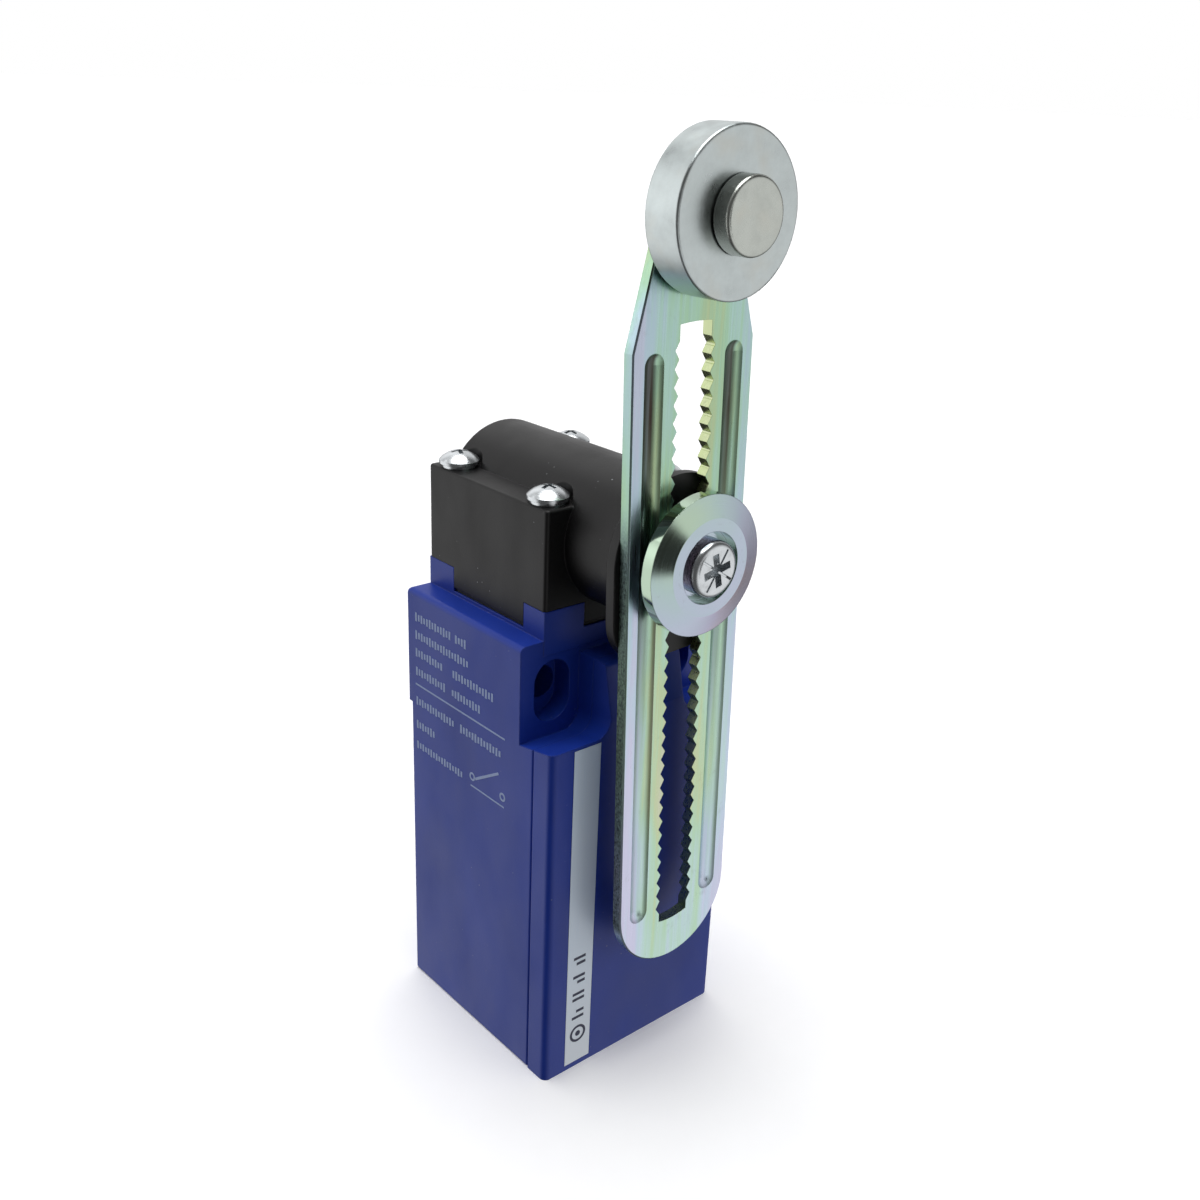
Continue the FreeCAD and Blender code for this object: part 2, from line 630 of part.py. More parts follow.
def shaft_circlip():
    # open retaining ring in the shaft's groove, with two ears beside its gap
    groove0, groove1 = CIRCLIP_Y
    y0 = groove0 + 0.03
    y1 = groove1 - 0.03
    inner = SHAFT_RADIUS - CIRCLIP_GROOVE + SLIP
    ear_z = SHAFT_Z + inner + 1.1
    ring = ring_y(inner + CIRCLIP_WIDTH, inner, y0, y1)
    for x in (-1.7, 1.7):
        ring = ring.fuse(rod_y(1.0, y0, y1, x, ear_z))
    ring = ring.cut(box(-0.8, 0.8, y0 - 1, y1 + 1, SHAFT_Z, ear_z + 2))
    for x in (-1.75, 1.75):
        ring = ring.cut(rod_y(0.4, y0 - 1, y1 + 1, x, ear_z + 0.1))
    return ring.cut(rod_y(inner, y0 - 1, y1 + 1)).removeSplitter()


def involute_point(roll):
    # point of the cam flank for a roll angle; at ROLL_AT_REST it lies straight below the base circle's side
    turn = roll - ROLL_AT_REST
    x = BASE_CIRCLE * (cos(turn) + roll * sin(turn))
    z = BASE_CIRCLE * (sin(turn) - roll * cos(turn))
    return V(x, 0, SHAFT_Z + z)


def cam_lobe(y0, y1, side):
    # a flat-faced follower on an involute flank moves by BASE_CIRCLE times the angle turned
    swing = radians(SWING_DEG)
    first = ROLL_AT_REST - swing - ROLL_MARGIN
    last = ROLL_AT_REST + swing + ROLL_MARGIN
    steps = 24
    flank = Part.BSplineCurve()
    flank.interpolate([involute_point(first + (last - first) * i / steps) for i in range(steps + 1)])
    start = involute_point(first)
    tip = involute_point(last)
    reach = hypot(tip.x, tip.z - SHAFT_Z)
    bearing = atan2(tip.z - SHAFT_Z, tip.x)
    shoulder = V(reach * cos(bearing + 0.12), 0, SHAFT_Z + reach * sin(bearing + 0.12))
    crest = V(reach * cos(bearing + 0.06), 0, SHAFT_Z + reach * sin(bearing + 0.06))
    back = V(1.5, 0, SHAFT_Z + sqrt(CAM_CORE_RADIUS ** 2 - 1.5 ** 2) - 0.2)
    centre = V(0, 0, SHAFT_Z)
    edges = [flank.toShape(), Part.Arc(tip, crest, shoulder).toShape()]
    for a, b in ((shoulder, back), (back, centre), (centre, start)):
        edges.append(Part.LineSegment(a, b).toShape())
    lobe = Part.Face(Part.Wire(edges)).extrude(V(0, y1 - y0, 0))
    lobe.translate(V(0, y0, 0))
    return lobe if side > 0 else mirrored(lobe)


def cam_sleeve():
    half = CAM_WIDTH / 2
    front = HEAD_Y - CAM_SPACING / 2
    rear = HEAD_Y + CAM_SPACING / 2
    core = rod_y(CAM_CORE_RADIUS, front - half, rear + half)
    sleeve = join([core, cam_lobe(front - half, front + half, 1), cam_lobe(rear - half, rear + half, -1)])
    bore = flatted(SPINDLE_RADIUS + SLIP, front - half - 1, rear + half + 1, CAM_FLAT + SLIP)
    return sleeve.cut(bore)


def lever_hub():
    # round plate that runs down into a square foot behind the arm, with a key in the arm's slot
    y0 = ARM_BACK_Y + FACE_GAP
    foot = wide_box(HUB_RADIUS, y0, HUB_BACK_Y, SHAFT_Z + HUB_FOOT_V, SHAFT_Z)
    foot = round_where(foot, HUB_FOOT_ROUND, lambda m, d: abs(d.y) > 0.9 and m.z < SHAFT_Z - 1)
    plate = join([rod_y(HUB_RADIUS, y0, HUB_BACK_Y), foot])
    plate = plate.makeFillet(0.25, [e for e in plate.Edges if e.BoundBox.YMin > HUB_BACK_Y - 0.01])
    key_half = TOOTH_PEAK_U - 0.2
    key_z = (SHAFT_Z - KEY_HALF_LENGTH, SHAFT_Z + KEY_HALF_LENGTH)
    key = wide_box(key_half, ARM_FRONT_Y + 0.1, ARM_BACK_Y + 0.5, *key_z)
    hub = lever_frame(join([plate, key]))
    hub = hub.cut(flatted(SHAFT_RADIUS + SLIP, y0 - 0.001, HUB_BACK_Y + 1, HUB_FLAT + SLIP))
    return hub.cut(rod_y(CLAMP_SHANK_RADIUS + 0.1, ARM_FRONT_Y - 1, ARM_BACK_Y + 1))


def clamp_washer():
    boss = rod_y(WASHER_BOSS_RADIUS, WASHER_RIM_BACK_Y, WASHER_BOSS_Y)
    rim = rod_y(WASHER_RADIUS, WASHER_RIM_FRONT_Y, WASHER_RIM_BACK_Y)
    rim = round_rims(rim, 0.2, WASHER_RIM_BACK_Y)
    cone = cone_y(WASHER_FACE_RADIUS, WASHER_RADIUS, WASHER_FACE_Y, WASHER_RIM_FRONT_Y)
    washer = join([boss, rim, cone])
    washer = washer.cut(rod_y(COUNTERBORE_RADIUS, WASHER_FACE_Y - 1, COUNTERBORE_FLOOR_Y))
    return washer.cut(rod_y(CLAMP_SHANK_RADIUS + 0.1, WASHER_FACE_Y - 1, WASHER_BOSS_Y + 1))


def clamp_screw():
    head = rod_y(CLAMP_HEAD_RADIUS, CLAMP_HEAD_FRONT_Y, COUNTERBORE_FLOOR_Y)
    head = round_rims(head, CLAMP_HEAD_ROUND, CLAMP_HEAD_FRONT_Y)
    head = head.cut(cross_recess(CLAMP_HEAD_RADIUS, 1.3, 0.95, CLAMP_HEAD_FRONT_Y, -12))
    shank = rod_y(CLAMP_SHANK_RADIUS, COUNTERBORE_FLOOR_Y, CLAMP_TIP_Y)
    return head.fuse(shank).removeSplitter()


def front_bushing():
    return ring_y(BUSHING_RADIUS, SHAFT_RADIUS + RUNNING, SEAL_BACK_Y + 0.05, CAM_CHAMBER_FRONT_Y)


def rear_bushing():
    return ring_y(REAR_BUSHING_RADIUS, SPINDLE_RADIUS + RUNNING, CAM_CHAMBER_BACK_Y, REAR_BUSHING_BACK_Y)


def shaft_seal():
    # lip seal: a rubber ring with a groove on its outer face
    seal = ring_y(SEAL_RADIUS, SHAFT_RADIUS + RUNNING, BARREL_FRONT_Y + 0.4, SEAL_BACK_Y)
    return seal.cut(ring_y(5.4, 4.4, BARREL_FRONT_Y, BARREL_FRONT_Y + 2.0))


# ---- arm and roller -----------------------------------------------------------------------
def upright(u, v, y=ARM_FRONT_Y):
    return V(u, y, SHAFT_Z + v)


def arm_outline():
    # half-round foot, parallel sides, and shoulders that taper to the tip's circle
    run_u = ARM_HALF_WIDTH
    run_v = ROLLER_V - ARM_SHOULDER_V
    taper = acos(ARM_TIP_RADIUS / hypot(run_u, run_v)) - atan2(run_v, run_u)
    tip_u = ARM_TIP_RADIUS * cos(taper)
    tip_v = ROLLER_V + ARM_TIP_RADIUS * sin(taper)
    w = ARM_HALF_WIDTH
    foot = (upright(-w, ARM_FOOT_V), upright(0, ARM_FOOT_V - w), upright(w, ARM_FOOT_V))
    tip = (upright(tip_u, tip_v), upright(0, ROLLER_V + ARM_TIP_RADIUS), upright(-tip_u, tip_v))
    shoulders = [upright(side * w, ARM_SHOULDER_V) for side in (-1, 1)]
    return Part.Wire([
        arc(*foot),
        line(foot[2], shoulders[1]),
        line(shoulders[1], tip[0]),
        arc(*tip),
        line(tip[2], shoulders[0]),
        line(shoulders[0], foot[0]),
    ])


def toothed_side(side):
    # pointed teeth with small round valleys, from the bottom of the slot to its top
    edges = []
    flat_u = TOOTH_VALLEY_U - 0.12
    for i in range(TOOTH_COUNT):
        v0 = TOOTH_START_V + i * TOOTH_PITCH
        v1 = v0 + TOOTH_PITCH
        middle = (v0 + v1) / 2
        low = upright(side * flat_u, middle - TOOTH_VALLEY_HALF)
        high = upright(side * flat_u, middle + TOOTH_VALLEY_HALF)
        edges.append(line(upright(side * TOOTH_PEAK_U, v0), low))
        edges.append(arc(low, upright(side * TOOTH_VALLEY_U, middle), high))
        edges.append(line(high, upright(side * TOOTH_PEAK_U, v1)))
    return edges


def slot_end(v_teeth, v_end, bow):
    # from the last teeth to a slightly bowed end, from left to right
    u = TOOTH_PEAK_U
    return [
        line(upright(-u, v_teeth), upright(-u, v_end)),
        arc(upright(-u, v_end), upright(0, v_end + bow), upright(u, v_end)),
        line(upright(u, v_end), upright(u, v_teeth)),
    ]


def slot_outline():
    bottom = slot_end(TOOTH_START_V, SLOT_BOTTOM_V, -0.3)
    top = slot_end(TOOTH_START_V + TOOTH_COUNT * TOOTH_PITCH, SLOT_TOP_V, 0.12)
    return Part.Wire(bottom + toothed_side(1) + top[::-1] + toothed_side(-1)[::-1])


def groove_tool(u):
    # round-bottomed channel with spherical ends, sunk into the arm's front face
    chord = GROOVE_WIDTH / 2
    y = ARM_FRONT_Y - sqrt(GROOVE_TOOL_RADIUS ** 2 - chord ** 2)
    z0 = SHAFT_Z + GROOVE_BOTTOM_V + chord
    z1 = SHAFT_Z + GROOVE_TOP_V - chord
    bar = Part.makeCylinder(GROOVE_TOOL_RADIUS, z1 - z0, V(u, y, z0), V(0, 0, 1))
    ends = [Part.makeSphere(GROOVE_TOOL_RADIUS, V(u, y, z)) for z in (z0, z1)]
    return join([bar] + ends)


def slotted_arm():
    depth = V(0, ARM_BACK_Y - ARM_FRONT_Y, 0)
    plate = Part.Face(arm_outline()).extrude(depth)
    plate = plate.makeChamfer(ARM_CHAMFER, [e for e in plate.Edges if e.BoundBox.YMax < ARM_FRONT_Y + 0.01])
    plate = plate.cut(Part.Face(slot_outline()).extrude(depth))
    for u in (-GROOVE_U, GROOVE_U):
        plate = plate.cut(groove_tool(u))
    plate = plate.cut(rod_y(PIN_RADIUS + SLIP, ARM_FRONT_Y - 1, ARM_BACK_Y + 1, 0, SHAFT_Z + ROLLER_V))
    return lever_frame(plate)


def roller_pin():
    z = SHAFT_Z + ROLLER_V
    head = rod_y(PIN_HEAD_RADIUS, PIN_HEAD_FRONT_Y, PIN_HEAD_BACK_Y, 0, z)
    head = round_rims(head, 0.45, PIN_HEAD_FRONT_Y)
    shank = rod_y(PIN_RADIUS, PIN_HEAD_BACK_Y, ARM_BACK_Y, 0, z)
    rivet = cone_y(RIVET_RADIUS, RIVET_RADIUS - 0.7, ARM_BACK_Y, RIVET_BACK_Y, 0, z)
    return lever_frame(join([head, shank, rivet]))


def roller_spacer():
    inner = PIN_RADIUS + SLIP
    back_y = ROLLER_BACK_Y + FACE_GAP
    return lever_frame(ring_y(SPACER_RADIUS, inner, back_y, ARM_FRONT_Y, 0, SHAFT_Z + ROLLER_V))


def roller():
    z = SHAFT_Z + ROLLER_V
    wheel = rod_y(ROLLER_RADIUS, ROLLER_FRONT_Y, ROLLER_BACK_Y, 0, z)
    wheel = round_rims(round_rims(wheel, 0.35, ROLLER_FRONT_Y), 0.35, ROLLER_BACK_Y)
    return lever_frame(wheel.cut(rod_y(BUSH_RADIUS + SLIP, ROLLER_FRONT_Y - 1, ROLLER_BACK_Y + 1, 0, z)))


def roller_bush():
    z = SHAFT_Z + ROLLER_V
    return lever_frame(ring_y(BUSH_RADIUS, PIN_RADIUS + RUNNING, ROLLER_FRONT_Y, ROLLER_BACK_Y, 0, z))


# ---- pushers ------------------------------------------------------------------------------
def pusher(side):
    x, y = pusher_places()[side]
    top = SHAFT_Z - BASE_CIRCLE * ROLL_AT_REST - PUSHER_GAP
    pin = rod_z(PUSHER_RADIUS, PUSHER_BOTTOM_Z, top, x, y)
    collar = rod_z(COLLAR_RADIUS, COLLAR_BOTTOM_Z, COLLAR_TOP_Z, x, y)
    return join([pin, collar])


def pusher_spring(side):
    x, y = pusher_places()[side]
    return coil_spring(PUSHER_SPRING, WEB_TOP_Z, COLLAR_BOTTOM_Z, x, y)


# ---- contact block ------------------------------------------------------------------------
def both_sides(shape):
    return Part.makeCompound([shape, mirrored(shape)])


def contact_block_base():
    back = wide_box(BLOCK_HALF_WIDTH, BACKPLATE_Y, BLOCK_BACK_Y, BLOCK_BOTTOM_Z, BLOCK_TOP_Z)
    foot_top = BLOCK_BOTTOM_Z + BLOCK_FOOT
    foot = wide_box(POST_INNER_X + 1, HEAD_Y - 5, BACKPLATE_Y + 1, BLOCK_BOTTOM_Z, foot_top)
    parts = [back, foot]
    for z0, z1 in ((UPPER_POST_BOTTOM_Z, BLOCK_TOP_Z), (BLOCK_BOTTOM_Z, LOWER_POST_TOP_Z)):
        post = box(POST_INNER_X, BLOCK_HALF_WIDTH, BLOCK_FRONT_Y, BACKPLATE_Y + 1, z0, z1)
        parts += [post, mirrored(post)]
    block = join(parts)
    for x, z in terminal_places():
        block = block.cut(rod_y(TERMINAL_SCREW[2] + SLIP, TERMINAL_Y - 1, TERMINAL_Y + 8, x, z))
    for x, z in block_screw_places():
        block = block.cut(rod_y(BLOCK_SCREW[2] + 0.1, BACKPLATE_Y - 1, BLOCK_BACK_Y + 1, x, z))
    return block


def terminal_places():
    upper = (UPPER_POST_BOTTOM_Z + BLOCK_TOP_Z) / 2
    lower = (BLOCK_BOTTOM_Z + LOWER_POST_TOP_Z) / 2
    return [(side * TERMINAL_X, z) for z in (upper, lower) for side in (-1, 1)]


def block_screw_places():
    return [(side * BLOCK_SCREW_X, BLOCK_SCREW_Z) for side in (-1, 1)]


def contact_block_cover():
    # front shutter that keeps the carrier in its groove, notched round the fixed contacts
    y0 = BLOCK_FRONT_Y - SHUTTER_THICKNESS
    shutter = wide_box(POST_INNER_X + 0.8, y0, BLOCK_FRONT_Y - 0.02, BLOCK_BOTTOM_Z, BLOCK_TOP_Z)
    for z0 in (UPPER_POST_BOTTOM_Z - STRIP_THICKNESS, LOWER_POST_TOP_Z):
        z1 = z0 + STRIP_THICKNESS
        notch = box(POST_INNER_X - 0.6, POST_INNER_X + 1.0, y0 - 1, BLOCK_FRONT_Y + 1, z0 - 0.2, z1 + 0.2)
        shutter = shutter.cut(notch).cut(mirrored(notch))
    return shutter


def fixed_contact(z_plate0, pad_z):
    # strip on its post, bent at the front into the terminal pad that spans pad_z
    z_plate1 = z_plate0 + STRIP_THICKNESS
    strip = box(POST_INNER_X - 0.4, STRIP_OUTER_X, TERMINAL_Y, HEAD_Y + 2.2, z_plate0, z_plate1)
    pad = box(TERMINAL_X - PAD_HALF_WIDTH, STRIP_OUTER_X, TERMINAL_Y, BLOCK_FRONT_Y - 0.02, *pad_z)
    contact = join([strip, pad])
    for x, z in terminal_places():
        contact = contact.cut(rod_y(TERMINAL_SCREW[2] + SLIP, TERMINAL_Y - 2, TERMINAL_Y + 2, x, z))
    return contact


def fixed_contacts_nc():
    z0 = UPPER_POST_BOTTOM_Z - STRIP_THICKNESS
    return both_sides(fixed_contact(z0, (z0, BLOCK_TOP_Z - 0.2)))


def fixed_contacts_no():
    z1 = LOWER_POST_TOP_Z + STRIP_THICKNESS
    return both_sides(fixed_contact(LOWER_POST_TOP_Z, (BLOCK_BOTTOM_Z + 0.2, z1)))


def contact_rivets():
    # silver faces of the four fixed contacts
    rivets = []
    for side in (-1, 1):
        rivets.append(rod_z(TIP_RADIUS, NC_TIP_TOP - TIP_THICKNESS, NC_TIP_TOP, side * TIP_X))
        rivets.append(rod_z(TIP_RADIUS, NO_TIP_BOTTOM, NO_TIP_BOTTOM + TIP_THICKNESS, side * TIP_X))
    return Part.makeCompound(rivets)


def bridge(z0, tips_up):
    # flat strip with a contact face at each end
    y0 = HEAD_Y - BRIDGE_HALF_WIDTH
    y1 = HEAD_Y + BRIDGE_HALF_WIDTH
    strip = wide_box(TIP_X + TIP_RADIUS, y0, y1, z0, z0 + BRIDGE_THICKNESS)
    tip_z = z0 + BRIDGE_THICKNESS if tips_up else z0 - TIP_THICKNESS
    tips = [rod_z(TIP_RADIUS, tip_z, tip_z + TIP_THICKNESS, side * TIP_X) for side in (-1, 1)]
    return join([strip] + tips)


def contact_bridge_nc():
    return bridge(NC_BRIDGE_TOP - BRIDGE_THICKNESS, True)


def contact_bridge_no():
    return bridge(NO_BRIDGE_BOTTOM, False)


def contact_carrier():
    y0 = HEAD_Y - CARRIER_HALF_DEPTH
    y1 = HEAD_Y + CARRIER_HALF_DEPTH
    carrier = wide_box(CARRIER_HALF_WIDTH, y0, y1, CARRIER_BOTTOM_Z, CARRIER_TOP_Z)
    carrier = round_where(carrier, 0.5, upright_edge)
    depth = WINDOW_HALF_DEPTH
    for z0, z1 in (NC_WINDOW, NO_WINDOW):
        carrier = carrier.cut(wide_box(CARRIER_HALF_WIDTH + 1, HEAD_Y - depth, HEAD_Y + depth, z0, z1))
    return carrier


def bridge_springs():
    # each presses its bridge away from the middle of the carrier
    nc = coil_spring(BRIDGE_SPRING, NC_WINDOW[0], NC_BRIDGE_TOP - BRIDGE_THICKNESS)
    no = coil_spring(BRIDGE_SPRING, NO_BRIDGE_BOTTOM + BRIDGE_THICKNESS, NO_WINDOW[1])
    return Part.makeCompound([nc, no])


def carrier_spring():
    return coil_spring(CARRIER_SPRING, BLOCK_BOTTOM_Z + BLOCK_FOOT, CARRIER_BOTTOM_Z)


def front_screw(x, z, size, seat_y, tip_y):
    # slotted screw whose head faces the cover
    head_radius, head_height, shank_radius = size
    head_y = seat_y - head_height
    head = rod_y(head_radius, head_y, seat_y, x, z)
    head = head.cut(box(x - head_radius, x + head_radius, head_y - 1, head_y + 0.7, z - 0.35, z + 0.35))
    return head.fuse(rod_y(shank_radius, seat_y, tip_y, x, z)).removeSplitter()


def terminal_screws():
    tip_y = TERMINAL_Y + 6.5
    screws = [front_screw(x, z, TERMINAL_SCREW, CLAMP_SEAT_Y, tip_y) for x, z in terminal_places()]
    return Part.makeCompound(screws)


def terminal_clamps():
    # square wire clamps, raised off the pads by their lower ridges
    clamps = []
    half = CLAMP_HALF_HEIGHT
    for x, z in terminal_places():
        plate = box(x - 2.2, x + 1.9, CLAMP_SEAT_Y, CLAMP_SEAT_Y + 0.7, z - half, z + half)
        ridge = box(x - 2.2, x + 1.9, CLAMP_SEAT_Y, TERMINAL_Y - 0.02, z - half, z - half + 0.5)
        hole = rod_y(TERMINAL_SCREW[2] + 0.1, CLAMP_SEAT_Y - 1, TERMINAL_Y + 1, x, z)
        clamps.append(join([plate, ridge]).cut(hole))
    return Part.makeCompound(clamps)


def contact_block_screws():
    tip_y = BLOCK_BACK_Y - 0.1
    screws = [front_screw(x, z, BLOCK_SCREW, BACKPLATE_Y, tip_y) for x, z in block_screw_places()]
    return Part.makeCompound(screws)


# ---- export -------------------------------------------------------------------------------
def build():
    return {
        "body_housing": body_housing(),
        "front_cover": front_cover(),
        "cover_gasket": cover_gasket(),
        "label_strip": label_strip(),
        "contact_block_base": contact_block_base(),
        "contact_block_cover": contact_block_cover(),
        "contact_block_screws": contact_block_screws(),
        "fixed_contacts_nc": fixed_contacts_nc(),
        "fixed_contacts_no": fixed_contacts_no(),
        "contact_rivets": contact_rivets(),
        "terminal_screws": terminal_screws(),
        "terminal_clamps": terminal_clamps(),
        "contact_carrier": contact_carrier(),
        "contact_bridge_nc": contact_bridge_nc(),
        "contact_bridge_no": contact_bridge_no(),
        "bridge_springs": bridge_springs(),
        "carrier_spring": carrier_spring(),
        "pusher_right": pusher("right"),
        "pusher_left": pusher("left"),
        "pusher_spring_right": pusher_spring("right"),
        "pusher_spring_left": pusher_spring("left"),
        "head_housing": head_housing(),
        "head_gasket": head_gasket(),
        "head_screws": head_screws(),
        "guide_plate": guide_plate(),
        "front_bushing": front_bushing(),
        "rear_bushing": rear_bushing(),
        "shaft_seal": shaft_seal(),
        "operating_shaft": operating_shaft(),
        "cam_sleeve": cam_sleeve(),
        "shaft_circlip": shaft_circlip(),
        "lever_hub": lever_hub(),
        "clamp_washer": clamp_washer(),
        "clamp_screw": clamp_screw(),
        "slotted_arm": slotted_arm(),
        "roller_pin": roller_pin(),
        "roller_spacer": roller_spacer(),
        "roller": roller(),
        "roller_bush": roller_bush(),
    }


os.makedirs("parts", exist_ok=True)
for name, shape in build().items():
    shape.exportStep("parts/" + name + ".step")
    print(name, len(shape.Solids), "solid(s), valid", shape.isValid(), "volume", round(shape.Volume, 1))
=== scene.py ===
"""The look of a roller-lever limit switch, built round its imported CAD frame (metres, +Z up)."""

import math

import bpy
from mathutils import Matrix, Vector


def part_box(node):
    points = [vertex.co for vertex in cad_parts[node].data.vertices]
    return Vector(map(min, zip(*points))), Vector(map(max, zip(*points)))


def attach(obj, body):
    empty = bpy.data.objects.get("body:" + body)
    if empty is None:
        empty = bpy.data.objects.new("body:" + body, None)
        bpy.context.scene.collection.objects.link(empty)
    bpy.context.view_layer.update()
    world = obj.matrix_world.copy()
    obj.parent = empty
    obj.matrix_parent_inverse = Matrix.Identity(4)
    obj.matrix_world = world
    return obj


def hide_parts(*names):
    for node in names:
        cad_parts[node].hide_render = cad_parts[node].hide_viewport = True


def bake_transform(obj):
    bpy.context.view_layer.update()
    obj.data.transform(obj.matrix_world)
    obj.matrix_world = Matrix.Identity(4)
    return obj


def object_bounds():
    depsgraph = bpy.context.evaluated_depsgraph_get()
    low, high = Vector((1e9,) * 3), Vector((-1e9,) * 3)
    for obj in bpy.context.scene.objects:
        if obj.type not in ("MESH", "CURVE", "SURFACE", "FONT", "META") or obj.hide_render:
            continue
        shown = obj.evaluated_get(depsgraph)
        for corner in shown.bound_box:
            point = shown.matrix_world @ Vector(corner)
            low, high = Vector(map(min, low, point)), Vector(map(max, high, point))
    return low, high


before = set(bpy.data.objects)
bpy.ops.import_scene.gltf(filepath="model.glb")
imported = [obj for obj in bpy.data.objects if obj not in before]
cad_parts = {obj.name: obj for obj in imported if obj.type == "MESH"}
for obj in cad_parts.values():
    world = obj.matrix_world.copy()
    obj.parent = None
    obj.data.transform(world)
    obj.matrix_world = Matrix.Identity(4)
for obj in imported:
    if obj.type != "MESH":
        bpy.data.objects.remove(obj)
cad_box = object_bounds()

# ---- sizes and places -----------------------------------------------------------------------
MM = 0.001
HOUSING_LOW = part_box("body_housing")[0]
LABEL_LOW, LABEL_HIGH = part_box("label_strip")
SHAFT_LOW, SHAFT_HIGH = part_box("operating_shaft")
SHAFT_Z = (SHAFT_LOW.z + SHAFT_HIGH.z) / 2
ARM_FRONT_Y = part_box("slotted_arm")[0].y
ROLLER_LOW, ROLLER_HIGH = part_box("roller")
ROLLER_CENTRE = (ROLLER_LOW + ROLLER_HIGH) / 2
LEVER_TILT = math.atan2(-ROLLER_CENTRE.x, ROLLER_CENTRE.z - SHAFT_Z)
SHAFT_POINT = Vector((0, 0, SHAFT_Z))

# sizes of the small pieces, in millimetres
INK_THICKNESS = 0.02
TICK_PITCH = 0.66
TICK_WIDTH = 0.38
ENTRY_RADIUS = 7.25
ENTRY_LENGTH = 8.6
ENTRY_Y = -16.3
THREAD_PITCH = 1.5
THREAD_HEIGHT = 0.32

# places on the lever, in millimetres across it from its middle line
EDGE_FROM = 8.9
SLOT_WALLS_TO = 4.5
GROOVE_MIDDLE = 6.15
# shift of the painted dark reflection, partly grime, on the left wall of both grooves
REFLECTION_AND_GRIME_SHIFT = 0.45
RINGS_PER_MM = 7.0

# camera: the angle that the reference view has
CAMERA_AZIMUTH = math.radians(-41.208)
CAMERA_ELEVATION = math.radians(21.708)
CAMERA_ROLL = math.radians(2.27)
CAMERA_DISTANCE = 176.62 * MM
CAMERA_AIM = Vector((4.88, -16.3, 5.65)) * MM
CAMERA_LENS = 39.04


def srgb(red, green, blue):
    """The linear colour of an 8-bit sRGB one."""
    def linear(value):
        share = value / 255
        return share / 12.92 if share <= 0.04045 else ((share + 0.055) / 1.055) ** 2.4

    return (linear(red), linear(green), linear(blue), 1.0)


# ---- node trees -------------------------------------------------------------------------------
class Tree:
    """A node tree, with a short call for each kind of node the looks are made of."""

    def __init__(self, owner):
        owner.use_nodes = True
        self.nodes = owner.node_tree.nodes
        self.links = owner.node_tree.links

    def feed(self, socket, value):
        """Links a socket to another, or sets it to a plain value."""
        if isinstance(value, bpy.types.NodeSocket):
            self.links.new(value, socket)
        elif value is not None:
            socket.default_value = value

    def add(self, kind, inputs=(), **settings):
        node = self.nodes.new("ShaderNode" + kind)
        for name, value in settings.items():
            setattr(node, name, value)
        for name, value in dict(inputs).items():
            self.feed(node.inputs[name], value)
        return node

    def math(self, operation, first, second=0.0):
        return self.add("Math", {0: first, 1: second}, operation=operation).outputs[0]

    def vector(self, operation, first, second=(0, 0, 0)):
        node = self.add("VectorMath", {0: first, 1: second}, operation=operation)
        return node.outputs["Value" if operation == "DOT_PRODUCT" else "Vector"]

    def split(self, vector):
        return self.add("SeparateXYZ", {0: vector}).outputs

    def join(self, x, y, z):
        return self.add("CombineXYZ", {0: x, 1: y, 2: z}).outputs[0]

    def span(self, value, low, high, to_low=0.0, to_high=1.0, smooth=False):
        """value from low to high, as to_low to to_high, and no further."""
        inputs = {"Value": value, "From Min": low, "From Max": high, "To Min": to_low, "To Max": to_high}
        kind = "SMOOTHSTEP" if smooth else "LINEAR"
        return self.add("MapRange", inputs, clamp=True, interpolation_type=kind).outputs[0]

    def noise(self, point, size, detail=2.0, roughness=0.5):
        """Cloudy noise with features about size millimetres across, where point is in millimetres."""
        inputs = {"Vector": point, "Scale": 1 / size, "Detail": detail, "Roughness": roughness}
        return self.add("TexNoise", inputs).outputs["Fac"]

    def cells(self, point, size):
        """Distance to the nearest of points strewn about size millimetres apart, in steps of size."""
        return self.add("TexVoronoi", {"Vector": point, "Scale": 1 / size}).outputs["Distance"]

    def ramp(self, value, stops):
        """A colour, or a shade of grey, for each value from 0 to 1."""
        node = self.add("ValToRGB", {"Fac": value})
        elements = node.color_ramp.elements
        while len(elements) < len(stops):
            elements.new(1.0)
        for element, (place, colour) in zip(elements, stops):
            element.position = place
            element.color = colour if isinstance(colour, tuple) else (colour, colour, colour, 1)
        return node.outputs["Color"]

    def mix(self, share, first, second, kind="MIX"):
        node = self.add("Mix", data_type="RGBA", blend_type=kind, clamp_factor=True)
        self.feed(node.inputs["Factor"], share)
        first_colour, second_colour = [socket for socket in node.inputs if socket.type == "RGBA"]
        self.feed(first_colour, first)
        self.feed(second_colour, second)
        return [socket for socket in node.outputs if socket.type == "RGBA"][0]


